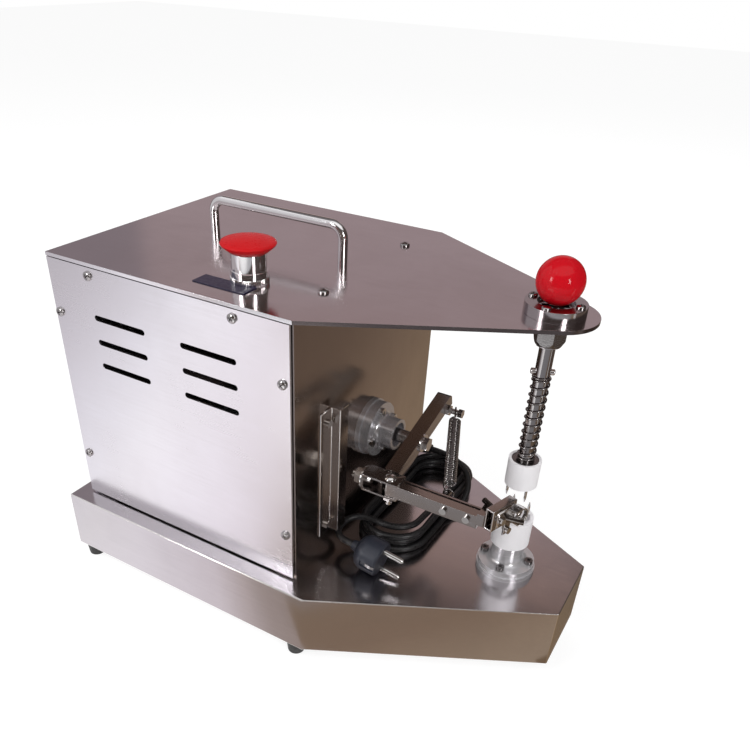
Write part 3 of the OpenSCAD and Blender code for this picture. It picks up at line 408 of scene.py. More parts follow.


# a copy of a CAD node with its sharp edges broken, standing for the node; where an edge look is given, the
# long broken edges wear it as a painted highlight
def softCopy(node, look, width, segments=2, edgeHighlightLook=None, degrees=35):
    bm = bmesh.new()
    bm.from_mesh(cad[node].data)
    bmesh.ops.remove_doubles(bm, verts=bm.verts, dist=2e-6)
    bmesh.ops.dissolve_limit(bm, angle_limit=math.radians(0.5), verts=bm.verts, edges=bm.edges)
    if edgeHighlightLook:
        markLongEdges(bm, degrees)
    obj = meshObject(node + "Soft", bm, look, degrees)
    bevel = obj.modifiers.new("edge", "BEVEL")
    bevel.width = width / 1000
    bevel.segments = segments
    bevel.limit_method = "WEIGHT" if edgeHighlightLook else "ANGLE"
    bevel.angle_limit = math.radians(degrees)
    bevel.use_clamp_overlap = True
    if edgeHighlightLook:
        obj.data.materials.append(looks[edgeHighlightLook])
        bevel.material = 1
    weighted = obj.modifiers.new("flat", "WEIGHTED_NORMAL")
    weighted.keep_sharp = False
    applied(obj)
    return standFor(obj, node)


# smooth line through given points
def curveThrough(points, steps):
    line = []
    last = len(points) - 1
    for i in range(last):
        a, b, c, d = points[max(i - 1, 0)], points[i], points[i + 1], points[min(i + 2, last)]
        for k in range(steps):
            t = k / steps
            smooth = 2 * b + (c - a) * t + (2 * a - 5 * b + 4 * c - d) * t * t
            line.append(0.5 * (smooth + (3 * b - a - 3 * c + d) * t ** 3))
    return line + [points[last]]


def lineObject(name, line, radius, look, rings):
    data = bpy.data.curves.new(name, "CURVE")
    data.dimensions = "3D"
    data.bevel_depth = radius
    data.bevel_resolution = rings
    data.use_fill_caps = True
    spline = data.splines.new("POLY")
    spline.points.add(len(line) - 1)
    for point, place in zip(spline.points, line):
        point.co = (*place, 1)
    spline.use_smooth = True
    data.materials.append(looks[look])
    return inScene(name, data)


# wire along a line, as a mesh
def wireObject(name, line, radius, look, rings=3):
    curve = lineObject(name + "Line", line, radius, look, rings)
    mesh = evaluatedMesh(curve)
    bpy.data.objects.remove(curve)
    smoothBy(mesh, 50)
    return wear(inScene(name, mesh), look)


# mains lead: gland, down to the base, round the long coil in three layers and out to the plug
mainsLead = {
    "diameter": 6.0,
    "gland": (47, 95, 101),
    "bendCentre": (54, 56),
    "bendReach": (49, 39),
    "bendHeights": (101, 100.9, 100.3, 98.8, 95.6, 90.9, 85.8),
    "joining": [(102.1, 47, 81.8), (99.2, 38, 79), (96.3, 30.5, 77.7), (95.2, 25.2, 77.35)],
    "coilX": 63.0,
    "coilNear": -12.5,
    "coilFar": 80.0,
    "coilLow": 77.3,
    "coilRadius": 32.0,
    "coilStep": 6.7,
    "coilLayer": 6.5,
    "overTurn": 0.5,  # part of a turn in which the lead climbs to the next layer
    "outTurn": 0.33,
    "straightShare": 0.27,
    "coilFrom": 0.19,
    "coilTo": 4.385,
    "ringsPerTurn": 72,
    "smoothSteps": 5,
    "turnX": 48.0,
    "turnDrop": (0, 0, 0.5, 1.6, 2.4, 2.7, 2.6, 2.3, 2),
    "plugBack": (52.5, -72, 94.25),
    "plugTilt": 8.0,
}


def ease(x):
    c = min(max(x, 0), 1)
    return c * c * (3 - 2 * c)


# a turn runs along the right side, round the near end, along the left side and round the far end
def coilAngle(s, share):
    straight, arc = s["straightShare"], 0.5 - s["straightShare"]
    if share < straight:
        return 0.0, s["coilFar"] + (s["coilNear"] - s["coilFar"]) * share / straight
    if share < 0.5:
        return -math.pi * (share - straight) / arc, s["coilNear"]
    if share < 0.5 + straight:
        return -math.pi, s["coilNear"] + (s["coilFar"] - s["coilNear"]) * (share - 0.5) / straight
    return -math.pi - math.pi * (share - 0.5 - straight) / arc, s["coilFar"]


def coilPoint(s, t):
    run = (s["coilTo"] - s["coilFrom"]) / 3
    m = t - s["coilFrom"]
    wound = m if m <= run else 2 * run - m if m <= 2 * run else m - 2 * run
    over, out = s["overTurn"], s["outTurn"]
    climb = sum(ease((m - k * run + over / 2) / over) for k in (1, 2)) + ease((m - 3 * run + out) / out)
    angle, core = coilAngle(s, t % 1)
    radius = s["coilRadius"] - s["coilStep"] * wound
    return Vector((s["coilX"] + radius * math.cos(angle), core + radius * math.sin(angle),
                   s["coilLow"] + s["coilLayer"] * climb))


def leadLine(s):
    count = int((s["coilTo"] - s["coilFrom"]) * s["ringsPerTurn"])
    coil = [coilPoint(s, s["coilFrom"] + (s["coilTo"] - s["coilFrom"]) * i / count) for i in range(count + 1)]
    wayIn = coil[0] + Vector((0, s["diameter"], 0))
    wayOut = coil[-1] + Vector((-s["diameter"], 0, 0))
    bend = []
    for i, height in enumerate(s["bendHeights"]):
        a = math.radians(90 - 90 * i / (len(s["bendHeights"]) - 1))
        bend.append(Vector((s["bendCentre"][0] + s["bendReach"][0] * math.cos(a),
                            s["bendCentre"][1] + s["bendReach"][1] * math.sin(a), height)))
    plugBack = Vector(s["plugBack"])
    half = (wayOut.y - plugBack.y) / 2
    turn = []
    for i, drop in enumerate(s["turnDrop"]):
        a = math.radians(90 + 180 * i / (len(s["turnDrop"]) - 1))
        turn.append(Vector((s["turnX"] + half * math.cos(a), plugBack.y + half + half * math.sin(a),
                            wayOut.z - drop)))
    wayDown = [Vector(s["gland"])] + bend + [Vector(q) for q in s["joining"]]
    steps = s["smoothSteps"]
    first = curveThrough(wayDown + [wayIn, coil[0], coil[3]], steps)[:-2 * steps - 1]
    last = curveThrough([coil[-4], coil[-1], wayOut] + turn + [plugBack], steps)[2 * steps:]
    return [point / 1000 for point in first + [wayIn] + coil + last]


def makeMainsLead(s):
    line = leadLine(s)
    lead = lineObject("mainsLead", line, s["diameter"] / 2000, "cordSheath", 5)
    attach(lead, "frame")
    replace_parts(lead, "power_cord", "cord_coil", "plug_lead")
    plug = [softCopy("plug_body", "plugRubber", 0.8, 3), softCopy("plug_pins", "brightSteel", 0.2, 2)]
    plug += earthClips(plugClips, s)


# bright side contacts in the plug's two grooves
plugClips = {"width": 3.0, "thick": 0.8, "reach": 14.9, "bow": 0.7, "from": 20.5, "to": 29.2, "steps": 8}


def earthClips(s, lead):
    tilt = Matrix.Rotation(math.radians(90 + lead["plugTilt"]), 4, "Y")
    place = Matrix.Translation(Vector(lead["plugBack"])) @ tilt
    clips = []
    for sideName, side in (("Near", -1), ("Far", 1)):
        bm = bmesh.new()
        rows = []
        for i in range(s["steps"] + 1):
            share = i / s["steps"]
            along = s["from"] + (s["to"] - s["from"]) * share
            out = s["reach"] + s["bow"] * math.sin(math.pi * share)
            half, inner = s["width"] / 2, out - s["thick"]
            corners = [(-half, out), (half, out), (half, inner), (-half, inner)]
            rows.append([bm.verts.new(place @ Vector((x, side * y, along)) / 1000) for x, y in corners])
        bridgeRows(bm, rows)
        bm.faces.new(rows[0])
        bm.faces.new(rows[-1])
        clips.append(rideWith(meshObject("plugClip" + sideName, bm, "brightSteel"), "plug_pins"))
    return clips


makeMainsLead(mainsLead)

# sheet metal and turned pieces with broken edges: look, edge in mm, steps, look of the edge where it differs
# (a near-white painted highlight)
softened = {
    "base_tray": ("baseSheet", 1.6, 3, "rubbedEdge"),
    "front_panel": ("panelSheet", 0.5, 2),
    "rear_panel": ("sideSheet", 0.5, 2),
    "left_side_cover": ("sideSheet", 0.35, 2),
    "right_side_cover": ("sideSheet", 0.35, 2),
    "top_plate": ("topSheet", 0.45, 2),
    "panel_bracket": ("bracketSheet", 0.9, 3, "rubbedEdge"),
    "carry_handle": ("chromeRod", 0.2, 2),
    "button_bezel": ("chromeRod", 0.4, 2),
    "guide_bush": ("bushSteel", 0.6, 3),
    "bush_nut": ("darkSteel", 0.4, 2),
    "sweep_housing": ("bossAluminium", 0.5, 2),
    "fork_housing": ("forkAluminium", 0.5, 2),
    "sweep_lever": ("barSteel", 1.3, 3, "rubbedEdge"),
    "blade_arm": ("barSteel", 1.1, 3, "rubbedEdge"),
    "blade_holder": ("barSteel", 0.6, 2, "rubbedEdge"),
    "peeling_blade": ("brightSteel", 0.15, 2),
    "chuck": ("whiteNylon", 0.6, 3),
    "fork_cup": ("whiteNylon", 0.6, 3),
    "lever_bolt": ("brightSteel", 0.3, 2),
    "eye_stud": ("brightSteel", 0.3, 2),
    "hinge_bolt": ("brightSteel", 0.3, 2),
    "stop_screw": ("brightSteel", 0.3, 2),
    "cross_pin": ("chromeRod", 1.0, 3),
    "rubber_feet": ("blackRubber", 0.8, 3),
    "ball_knob": ("redGloss", 0.3, 2),
    "cord_gland": ("blackPlastic", 0.4, 2),
    "legend_plate": ("bluePlate", 0.2, 2),
}
soft = {node: softCopy(node, *finish) for node, finish in softened.items()}
print("edges broken on", len(softened), "nodes")


# painted light on the top plate's cut edge: a painted highlight along the sides and painted shade round the
# nose
def paintRimHighlightAndShade(plate, rimHighlightLook, rimShadeLook, upright=0.8, forward=0.2):
    plate.data.materials.append(looks[rimHighlightLook])
    plate.data.materials.append(looks[rimShadeLook])
    for face in plate.data.polygons:
        if abs(face.normal.z) < upright:
            face.material_index = 2 if face.normal.x > forward else 1


paintRimHighlightAndShade(soft["top_plate"], "sideSheet", "paintedShadeSteel")

# compression spring on the lift shaft, closed at both ends
liftSpring = {
    "axisX": 168.0,
    "low": 187.95,
    "high": 261.65,
    "wire": 1.4,
    "radius": 6.8,
    "curls": 13,
    "closed": 1.25,
    "endGap": 0.5,
    "rings": 36,
}


def makeLiftSpring(s):
    tight = s["wire"] + s["endGap"]
    pitch = (s["high"] - s["low"] - 2 * s["closed"] * tight) / (s["curls"] - 2 * s["closed"])
    line = []
    for i in range(s["curls"] * s["rings"] + 1):
        t = i / s["rings"]
        low, high = min(t, s["closed"]), max(t - s["curls"] + s["closed"], 0)
        z = s["low"] + tight * (low + high) + pitch * (t - low - high)
        a = 2 * math.pi * t
        line.append(Vector((s["axisX"] + s["radius"] * math.cos(a), s["radius"] * math.sin(a), z)) / 1000)
    spring = standFor(wireObject("liftSpringWire", line, s["wire"] / 2000, "springSteel"), "lift_spring")
    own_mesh(spring)


# extension spring from the eye stud on the lever to the hook stud on the blade arm
armSpring = {
    "eye": (86, 47, 180.5),
    "hook": (121.5, -39, 157),
    "wire": 1.5,
    "radius": 4.75,
    "pitch": 2.05,
    "curls": 36,
    "loop": 4.2,
    "rings": 24,
    "eyeTurn": range(150, -91, -12),  # degrees round the loop at the eye stud
    "smoothSteps": 5,
    "hookSteps": 36,
    "hookDrift": (0, -0.3, 0),
}


def makeArmSpring(s):
    eye, hook = Vector(s["eye"]), Vector(s["hook"])
    along = (hook - eye).normalized()
    span = (hook - eye).length
    up = -Vector((1, 0, 0)).cross(along).normalized()
    across = along.cross(up)
    lead = (span - s["curls"] * s["pitch"]) / 2
    far = eye + (span - lead) * along
    line = []
    for q in s["eyeTurn"]:
        a = math.radians(q)
        line.append(eye - s["loop"] * (math.cos(a) * along + math.sin(a) * up))
    start = eye + lead * along + s["radius"] * up
    midway = eye + lead / 2 * along + s["radius"] * up
    steps = s["smoothSteps"]
    line += curveThrough([line[-2], line[-1], midway, start, start + 0.6 * across], steps)[steps + 1:3 * steps]
    for i in range(s["curls"] * s["rings"] + 1):
        t = i / s["rings"]
        a = 2 * math.pi * t
        ring = math.cos(a) * up + math.sin(a) * across
        line.append(eye + (lead + s["pitch"] * t) * along + s["radius"] * ring)
    for i in range(1, s["hookSteps"] + 1):
        step = i / 3
        f = ease(step / 6)
        a = math.radians(45 * step)
        radius = s["radius"] + f * (s["loop"] - s["radius"])
        axis = (along * (1 - f) + Vector((0, -1, 0)) * f).normalized()
        lean = (up - up.dot(axis) * axis).normalized()
        drift = Vector(s["hookDrift"]) * max(step - 6, 0)
        ring = math.cos(a) * lean + math.sin(a) * axis.cross(lean)
        line.append(far + f * (hook - far) + drift + radius * ring)
    wire = [point / 1000 for point in line]
    spring = wireObject("armSpringWire", wire, s["wire"] / 2000, "springSteel", 2)
    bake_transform(spring)
    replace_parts(spring, "arm_spring")


makeLiftSpring(liftSpring)
makeArmSpring(armSpring)
print("springs wound")

# domed screw heads with a cross recess, as shares of the head, and how far each is turned in degrees
crossHead = {
    "segments": 40,
    "wall": 0.42,
    "reach": 0.62,
    "width": 0.2,
    "depth": 0.75,
    "footGrow": 0.62,
    "mouthGrow": 1.12,
    "mouthHeight": 1.3,
    "firstTurn": 25,
    "nextTurn": 37,
}


def makeScrewMesh(name, radius, height, shank, shankRadius, s):
    bm = bmesh.new()
    profile = [(shankRadius, -shank), (shankRadius, 0), (radius, 0), (radius, s["wall"] * height)]
    for k in range(1, 8):
        a = math.radians(90 * k / 8)
        profile.append((radius * math.cos(a), height * (s["wall"] + (1 - s["wall"]) * math.sin(a))))
    turns = [2 * math.pi * k / s["segments"] for k in range(s["segments"])]
    rows = [[bm.verts.new((r * math.cos(a), r * math.sin(a), z)) for a in turns] for r, z in profile]
    bridgeRows(bm, rows)
    bm.faces.new(rows[0])
    bm.faces.new(rows[-1])
    head = meshObject(name, bm, "screwSteel", 40)
    # painted shade: the cross recess is lined with near-black steel, passed over from the cutter
    head.data.materials.append(looks["paintedShadeSteel"])
    reach, half = s["reach"] * radius, s["width"] * radius / 2
    cross = [(half, half), (half, reach), (-half, reach), (-half, half), (-reach, half), (-reach, -half),
             (-half, -half), (-half, -reach), (half, -reach), (half, -half), (reach, -half), (reach, half)]
    cutter = bmesh.new()
    ends = [[cutter.verts.new((x * grow, y * grow, z)) for x, y in cross]
            for z, grow in ((height * (1 - s["depth"]), s["footGrow"]),
                            (height * s["mouthHeight"], s["mouthGrow"]))]
    bridgeRows(cutter, ends)
    cutter.faces.new(ends[0])
    cutter.faces.new(ends[1])
    blade = meshObject(name + "Cross", cutter, "paintedShadeSteel")
    cut = head.modifiers.new("recess", "BOOLEAN")
    cut.object = blade
    cut.operation = "DIFFERENCE"
    cut.solver = "EXACT"
    cut.material_mode = "TRANSFER"
    applied(head)
    bpy.data.objects.remove(blade)
    mesh = head.data
    bpy.data.objects.remove(head)
    return mesh


def screwSet(name, node, mesh, places):
    bm = bmesh.new()
    for i, (place, normal) in enumerate(places):
        spin = Matrix.Rotation(math.radians(crossHead["firstTurn"] + crossHead["nextTurn"] * i), 4, "Z")
        aim = Vector(normal).to_track_quat("Z", "Y").to_matrix().to_4x4()
        lay = Matrix.Translation(Vector(place) / 1000) @ aim @ spin @ Matrix.Scale(0.001, 4)
        copy = mesh.copy()
        copy.transform(lay)
        bm.from_mesh(copy)
        bpy.data.meshes.remove(copy)
    out = bpy.data.meshes.new(name)
    bm.to_mesh(out)
    bm.free()
    for material in mesh.materials:
        out.materials.append(material)
    smoothBy(out, 35)
    return standFor(inScene(name, out), node)


# cross-head screws in mm: head radius and height, shank length and radius, and where they sit
screwPlaces = {
    "coverHead": (4, 2.6, 7, 1.9),
    "topHead": (4.2, 2.8, 8, 1.9),
    "bushHead": (3.4, 2.4, 13, 1.9),
    "cover": [(-171, 301.5), (-27.6, 301.5), (-211.5, 262), (15.3, 261), (-210, 121), (15.3, 121)],
    "coverY": 120.5,
    "top": [(13.5, -64), (13, 67)],
    "topZ": 312,
    "bushX": 168,
    "bushTurn": [-5, 85, 175, 265],
    "bushRadius": 18,
    "bushZ": 320,
}


def makeScrews(s):
    cover = makeScrewMesh("coverScrewHead", *s["coverHead"], crossHead)
    places = [((x, side * s["coverY"], z), (0, side, 0)) for side in (-1, 1) for x, z in s["cover"]]
    screwSet("coverScrewHeads", "cover_screws", cover, places)
    top = makeScrewMesh("topScrewHead", *s["topHead"], crossHead)
    screwSet("topScrewHeads", "top_screws", top, [((x, y, s["topZ"]), (0, 0, 1)) for x, y in s["top"]])
    bush = makeScrewMesh("bushScrewHead", *s["bushHead"], crossHead)
    places = []
    for turn in s["bushTurn"]:
        a = math.radians(turn)
        x, y = s["bushX"] + s["bushRadius"] * math.cos(a), s["bushRadius"] * math.sin(a)
        places.append(((x, y, s["bushZ"]), (0, 0, 1)))
    screwSet("bushScrewHeads", "bush_screws", bush, places)


makeScrews(screwPlaces)
print("cross-head screws made")

# ribbed ring round the foot of the button's bezel
bezelRing = {
    "centre": (-43.5, -77.5),
    "inner": 13.4,
    "outer": 14.9,
    "valley": 14.3,
    "low": 312.1,
    "high": 317.2,
    "lip": 0.5,
    "ribs": 54,
    "ribShape": (0.0, 0.75, 1.0, 0.75),
}


def makeBezelRing(s):
    bm = bmesh.new()
    shape = s["ribShape"]
    count = s["ribs"] * len(shape)
    turns = [2 * math.pi * k / count for k in range(count)]
    x, y = s["centre"]

    def ringRow(z, radii):
        places = [(x + r * math.cos(a), y + r * math.sin(a), z) for r, a in zip(radii, turns)]
        return [bm.verts.new(Vector(place) / 1000) for place in places]

    levels = [(s["low"], 0.0), (s["low"] + s["lip"], 1.0), (s["high"] - s["lip"], 1.0), (s["high"], 0.0)]
    rib = s["outer"] - s["valley"]
    rows = []
    for z, full in levels:
        rows.append(ringRow(z, [s["valley"] + rib * (shape[k % len(shape)] * full) for k in range(count)]))
    for z in (s["high"], s["low"]):
        rows.append(ringRow(z, [s["inner"]] * count))
    rows.append(rows[0])
    bridgeRows(bm, rows)
    rideWith(meshObject("bezelRing", bm, "chromeRod", 30), "button_bezel")


makeBezelRing(bezelRing)
print("bezel ring ribbed")

# mushroom head of the stop button: a lens with a coned underside, on its stem
buttonHead = {
    "centre": (-43.5, -77.5),
    "low": 335.5,
    "stemLow": 297.0,
    "stemRadius": 8.8,
    "recess": (14.2, 4.6),
    "under": (14.9, 0.1),
    "shoulder": (20.3, 4.6),
    "rim": (21.0, 6.0),
    "edge": (20.5, 7.1),
    "top": 10.0,
    "domeSteps": 10,
    "domePower": 2.2,
    "segments": 96,
}


def makeButtonHead(s):
    stem, foot = s["stemRadius"], s["stemLow"] - s["low"]
    profile = [(0, foot), (stem, foot), (stem, s["recess"][1]), s["recess"],
               (s["recess"][0], s["under"][1])]
    profile += [s["under"], s["shoulder"], s["rim"], s["edge"]]
    edgeRadius, edgeHeight = s["edge"]
    for k in range(1, s["domeSteps"]):
        share = 1 - k / s["domeSteps"]
        profile.append((edgeRadius * share,
                        edgeHeight + (s["top"] - edgeHeight) * (1 - share ** s["domePower"])))
    profile.append((0, s["top"]))
    bm = bmesh.new()
    x, y = s["centre"]
    line = [bm.verts.new(Vector((x + r, y, s["low"] + z)) / 1000) for r, z in profile]
    edges = [bm.edges.new(pair) for pair in zip(line, line[1:])]
    centre = Vector((x, y, 0)) / 1000
    bmesh.ops.spin(bm, geom=line + edges, cent=centre, axis=(0, 0, 1), angle=2 * math.pi,
                   steps=s["segments"])
    bmesh.ops.remove_doubles(bm, verts=bm.verts, dist=1e-6)
    standFor(meshObject("stopButtonHead", bm, "redSatin", 50), "stop_button")


makeButtonHead(buttonHead)
print("button head turned")

# nodes whose solid is already the right shape
plainNodes = {
    "bottom_cover": "plainSheet",
    "handle_screws": "brightSteel",
    "switch_block": "blackPlastic",
    "panel_screws": "brightSteel",
    "fork_housing_screws": "darkSteel",
    "spin_motor": "motorPaint",
    "drive_belt": "blackRubber",
    "motor_pulley": "forkAluminium",
    "sweep_gearmotor": "motorPaint",
    "gearmotor_bracket": "plainSheet",
    "drive_pinion": "sweepSteel",
    "sweep_gear": "gearBrass",
    "sweep_shaft": "sweepSteel",
    "holder_screws": "brightSteel",
    "lift_shaft": "shaftSteel",
    "chuck_bearing": "darkSteel",
    "chuck_prongs": "brightSteel",
    "fork_prongs": "brightSteel",
    "fork_shaft": "shaftSteel",
    "fork_pulley": "forkAluminium",
}
for node, look in plainNodes.items():
    wear(cad[node], look)
print("finishes put on", len(plainNodes), "nodes")

# studio: pale floor, white surround, soft lamps and reflection cards
studio = {
    "floorSize": 12.0,
    "floorMatt": (0.9, 0.9, 0.9, 1),
    "floorShade": (0.3, 0.3, 0.3, 1),
    "floorGlow": 0.79,
    "ambient": 0.55,
    "keyLamp": {"place": (-0.9, -1.3, 1.7), "aim": (0.0, 0.0, 0.15), "size": 1.4, "power": 20},
    "fillLamp": {"place": (1.5, -0.9, 1.3), "aim": (0.05, 0.0, 0.15), "size": 1.6, "power": 12},
    "backLamp": {"place": (-0.4, 1.5, 1.8), "aim": (0.0, 0.0, 0.2), "size": 1.6, "power": 8},
}


# camera, mirror and see-through rays, which find the background pale
def backgroundRays(tree):
    rays = addNode(tree, "ShaderNodeLightPath")
    seen = addNode(tree, "ShaderNodeMath",
                   {0: rays.outputs["Is Camera Ray"], 1: rays.outputs["Is Glossy Ray"]}, operation="ADD")
    wires = {0: seen.outputs[0], 1: rays.outputs["Is Transmission Ray"]}
    return addNode(tree, "ShaderNodeMath", wires, operation="ADD", use_clamp=True).outputs[0]


def bareMaterial(name):
    material = bpy.data.materials.new(name)
    material.use_nodes = True
    material.node_tree.nodes.clear()
    return material, material.node_tree


def paleSurround(s):
    world = bpy.data.worlds.new("paleSurround")
    scene.world = world
    world.use_nodes = True
    tree = world.node_tree
    tree.nodes.clear()
    white = addNode(tree, "ShaderNodeBackground", {"Color": (1, 1, 1, 1), "Strength": 1.0})
    ambient = addNode(tree, "ShaderNodeBackground", {"Color": (1, 1, 1, 1), "Strength": s["ambient"]})
    mixed = addNode(tree, "ShaderNodeMixShader",
                    {0: backgroundRays(tree), 1: ambient.outputs[0], 2: white.outputs[0]})
    addNode(tree, "ShaderNodeOutputWorld", {"Surface": mixed.outputs[0]})


def paleFloor(s):
    bm = bmesh.new()
    bmesh.ops.create_grid(bm, x_segments=1, y_segments=1, size=s["floorSize"] / 2)
    mesh = bpy.data.meshes.new("paleFloor")
    bm.to_mesh(mesh)
    bm.free()
    floor = inScene("paleFloor", mesh)
    material, tree = bareMaterial("paleFloor")
    matt = addNode(tree, "ShaderNodeBsdfDiffuse", {"Color": s["floorMatt"]})
    faint = addNode(tree, "ShaderNodeBsdfDiffuse", {"Color": s["floorShade"]})
    glow = addNode(tree, "ShaderNodeEmission", {"Color": (1, 1, 1, 1), "Strength": s["floorGlow"]})
    shown = addNode(tree, "ShaderNodeAddShader", {0: faint.outputs[0], 1: glow.outputs[0]})
    mixed = addNode(tree, "ShaderNodeMixShader",
                    {0: backgroundRays(tree), 1: matt.outputs[0], 2: shown.outputs[0]})
    addNode(tree, "ShaderNodeOutputMaterial", {"Surface": mixed.outputs[0]})
    floor.data.materials.append(material)


def softLamp(name, s):
    data = bpy.data.lights.new(name, "AREA")
    data.size = s["size"]
    data.energy = s["power"]
    lamp = inScene(name, data)
    lamp.location = s["place"]
    lamp.rotation_euler = (Vector(s["aim"]) - Vector(s["place"])).to_track_quat("-Z", "Y").to_euler()
    lamp.visible_glossy = False  # metal mirrors the cards instead


# cards that only the metal sees: walls all round, patches of floor and a ceiling
cards = {
    "radius": 1.25,
    "wallTop": 1.9,
    "steps": 24,
    "floorHeight": 0.003,
    "walls": {
        "backWall": {"turn": (85, 143), "stops": [
            (0.0, (0.06, 0.045, 0.04)), (0.15, (0.12, 0.09, 0.085)), (0.27, (0.42, 0.345, 0.36)),
            (0.48, (0.41, 0.335, 0.345)),
            (0.56, (0.38, 0.27, 0.245)), (0.64, (0.35, 0.25, 0.215)), (0.70, (0.19, 0.13, 0.11)),
            (0.75, (0.06, 0.048, 0.046)), (1.0, (0.06, 0.052, 0.056))]},
        "backLeftWall": {"turn": (143, 172), "stops": [
            (0.0, (0.06, 0.045, 0.04)), (0.15, (0.10, 0.08, 0.075)), (0.27, (0.29, 0.25, 0.275)),
            (0.50, (0.30, 0.26, 0.28)), (0.75, (0.12, 0.10, 0.10)), (1.0, (0.1, 0.09, 0.09))]},
        "rightWall": {"turn": (10, 85), "stops": [
            (0.0, (0.05, 0.04, 0.033)), (0.4, (0.07, 0.055, 0.05)), (0.8, (0.09, 0.072, 0.064)),
            (1.0, (0.5, 0.48, 0.46))]},
        "frontWall": {"turn": (-105, 10), "stops": [
            (0.0, (0.16, 0.13, 0.11)), (0.4, (0.09, 0.075, 0.068)), (0.64, (0.10, 0.085, 0.08)),
            (0.75, (0.9, 0.89, 0.89)), (1.0, (1.0, 1.0, 1.0))]},
        "leftWall": {"turn": (172, 255), "stops": [
            (0.0, (0.55, 0.54, 0.55)), (0.5, (0.65, 0.64, 0.66)), (1.0, (0.95, 0.95, 0.96))]},
    },
    "floors": {
        "leftFloor": {"corners": [(0.045, -0.142), (-0.24, -0.142), (-1.2, -0.142), (-1.2, -1.0),
                                  (-0.43, -1.0)],
                      "towards": (1, -0.57), "span": (-0.5, 0.14), "rise": 0.0, "stops": [
            (0.0, (0.50, 0.47, 0.50)), (0.25, (0.70, 0.68, 0.72)), (0.42, (0.88, 0.87, 0.91)),
            (0.55, (1.0, 0.98, 1.0)), (0.66, (0.99, 0.96, 1.0)),
            (0.77, (0.90, 0.85, 0.89)), (0.83, (0.82, 0.76, 0.79)), (0.88, (0.64, 0.57, 0.56)),
            (0.93, (0.46, 0.39, 0.36)), (1.0, (0.40, 0.33, 0.29))]},
        "sideFloor": {"corners": [(0.045, -0.142), (0.236, -0.037), (1.2, -0.037), (1.2, -1.0),
                                  (-0.43, -1.0)],
                      "towards": (0, -1), "span": (0.0, 0.6), "rise": 0.0, "stops": [
            (0.0, (0.40, 0.32, 0.24)), (0.12, (0.36, 0.275, 0.195)), (0.22, (0.28, 0.20, 0.14)),
            (0.32, (0.27, 0.195, 0.135)), (0.42, (0.40, 0.39, 0.40)), (1.0, (0.46, 0.46, 0.48))]},
        # bright patch that draws a light line down the lift shaft
        "rodFloor": {"corners": [(0.095, -0.373), (0.019, -0.766), (-0.149, -0.713), (-0.301, -0.623),
                                 (-0.061, -0.303), (0.013, -0.347)],
                     "towards": (0, -1), "span": (0.3, 0.8), "rise": 0.001, "stops": [
            (0.0, (1.7, 1.7, 1.7)), (1.0, (1.7, 1.7, 1.7))]},
        "noseFloor": {"corners": [(0.2305, -0.05), (0.55, -0.05), (0.55, 0.18), (0.2305, 0.18)],
                      "towards": (0, 1), "span": (0.0, 0.2), "rise": 0.001, "stops": [
            (0.0, (0.21, 0.145, 0.09)), (1.0, (0.17, 0.14, 0.11))]},
        "backFloor": {"corners": [(0.06, 0.142), (0.24, 0.045), (1.2, 0.045), (1.2, 1.2), (0.06, 1.2)],
                      "towards": (-1, 0.25), "span": (-0.4, 0.1), "rise": 0.0, "stops": [
            (0.0, (0.17, 0.128, 0.104)), (0.35, (0.20, 0.15, 0.12)), (0.56, (0.29, 0.22, 0.17)),
            (0.68, (0.36, 0.275, 0.20)), (1.0, (0.42, 0.33, 0.23))]},
        "farFloor": {"corners": [(0.06, 0.142), (0.06, 1.2), (-1.2, 1.2), (-1.2, -0.142), (-0.24, -0.142),
                                 (-0.24, 0.142)],
                     "towards": (-0.3, 0.95), "span": (0.1, 0.6), "rise": 0.0, "stops": [
            (0.0, (0.80, 0.77, 0.78)), (0.3, (0.55, 0.51, 0.51)), (0.62, (0.10, 0.08, 0.075)),
            (1.0, (0.05, 0.04, 0.038))]},
    },
    "ceiling": {"corners": [(-1.25, -1.25), (1.25, -1.25), (1.25, 1.25), (-1.25, 1.25)],
                "towards": (0.5, -0.86), "span": (-1.2, 1.2), "rise": 1.9, "stops": [
        (0.0, (0.17, 0.155, 0.16)), (0.48, (0.16, 0.15, 0.15)), (0.60, (0.95, 0.95, 0.95)),
        (1.0, (1.0, 1.0, 1.0))]},
    "strips": {
        "leftStrip": {"turn": -113, "width": 0.2, "low": 0.46, "high": 0.82},
        "rightStrip": {"turn": -29, "width": 0.18, "low": 0.44, "high": 0.80},
    },
    "stripRadius": 1.1,
    "stripStrength": 13.0,
}


def cardObject(name, bm, stops, tone, strength=1.0):
    mesh = bpy.data.meshes.new(name)
    bm.to_mesh(mesh)
    bm.free()
    card = inScene(name, mesh)
    material, tree = bareMaterial(name)
    share = tone(tree, tree.nodes.new("ShaderNodeTexCoord").outputs["Object"])
    ramp = addNode(tree, "ShaderNodeValToRGB", {"Fac": share})
    while len(ramp.color_ramp.elements) < len(stops):
        ramp.color_ramp.elements.new(0.5)
    for element, (at, colour) in zip(ramp.color_ramp.elements, stops):
        element.position = at
        element.color = (*colour, 1)
    glow = addNode(tree, "ShaderNodeEmission", {"Color": ramp.outputs["Color"], "Strength": strength})
    addNode(tree, "ShaderNodeOutputMaterial", {"Surface": glow.outputs[0]})
    mesh.materials.append(material)
    card.visible_camera = False
    card.visible_diffuse = False
    card.visible_shadow = False
    card.visible_transmission = False


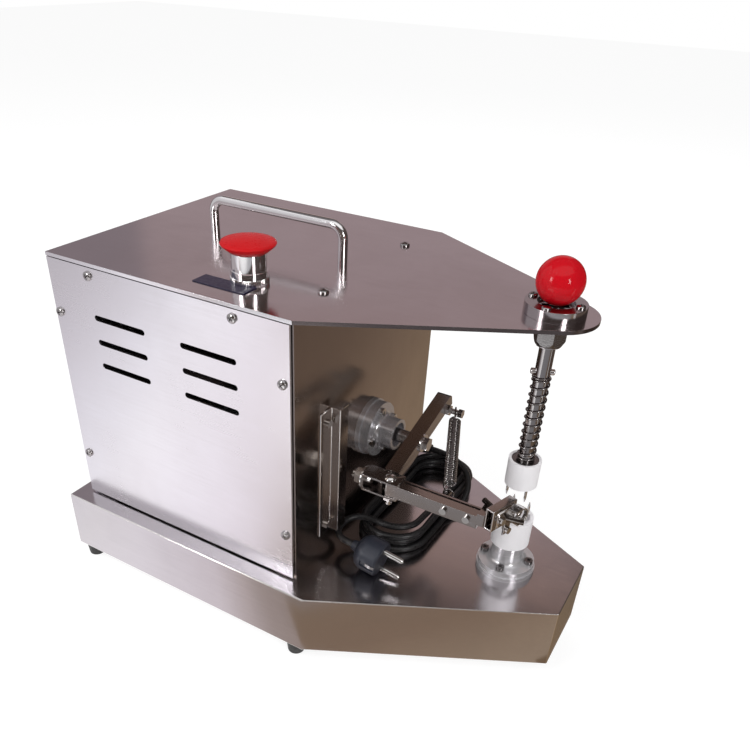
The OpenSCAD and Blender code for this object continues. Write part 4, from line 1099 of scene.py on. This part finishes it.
def wallCard(name, wall, s):
    bm = bmesh.new()
    first, last = wall["turn"]
    angles = [math.radians(first + (last - first) * k / s["steps"]) for k in range(s["steps"] + 1)]
    foot = [(s["radius"] * math.cos(a), s["radius"] * math.sin(a)) for a in angles]
    rows = [[bm.verts.new((x, y, z)) for x, y in foot] for z in (0, s["wallTop"])]
    for k in range(s["steps"]):
        bm.faces.new((rows[0][k], rows[0][k + 1], rows[1][k + 1], rows[1][k]))

    def byHeight(tree, place):
        parts = addNode(tree, "ShaderNodeSeparateXYZ", {"Vector": place})
        return addNode(tree, "ShaderNodeMapRange",
                       {"Value": parts.outputs["Z"], "From Max": s["wallTop"]}).outputs["Result"]

    cardObject(name, bm, wall["stops"], byHeight)


def flatCard(name, flat, s):
    bm = bmesh.new()
    bm.faces.new([bm.verts.new((x, y, s["floorHeight"] + flat["rise"])) for x, y in flat["corners"]])

    def byReach(tree, place):
        far = addNode(tree, "ShaderNodeVectorMath", {0: place, 1: (*flat["towards"], 0)},
                      operation="DOT_PRODUCT")
        low, high = flat["span"]
        return addNode(tree, "ShaderNodeMapRange",
                       {"Value": far.outputs["Value"], "From Min": low, "From Max": high}).outputs["Result"]

    cardObject(name, bm, flat["stops"], byReach)


# upright bright strips that draw lines on knobs and rims
def stripCard(name, strip, s):
    bm = bmesh.new()
    a = math.radians(strip["turn"])
    middle = Vector((s["stripRadius"] * math.cos(a), s["stripRadius"] * math.sin(a), 0))
    across = Vector((-math.sin(a), math.cos(a), 0)) * strip["width"] / 2
    low, high = Vector((0, 0, strip["low"])), Vector((0, 0, strip["high"]))
    corners = [middle - across + low, middle + across + low, middle + across + high, middle - across + high]
    bm.faces.new([bm.verts.new(corner) for corner in corners])

    def evenly(tree, place):
        return addNode(tree, "ShaderNodeSeparateXYZ", {"Vector": place}).outputs["Z"]

    cardObject(name, bm, [(0.0, (1, 1, 1)), (1.0, (1, 1, 1))], evenly, s["stripStrength"])


paleSurround(studio)
paleFloor(studio)
for name, wall in cards["walls"].items():
    wallCard(name, wall, cards)
for name, floor in cards["floors"].items():
    flatCard(name, floor, cards)
flatCard("ceilingCard", cards["ceiling"], cards)
for name, strip in cards["strips"].items():
    stripCard(name, strip, cards)
for name in ("keyLamp", "fillLamp", "backLamp"):
    softLamp(name, studio[name])
print("studio set")
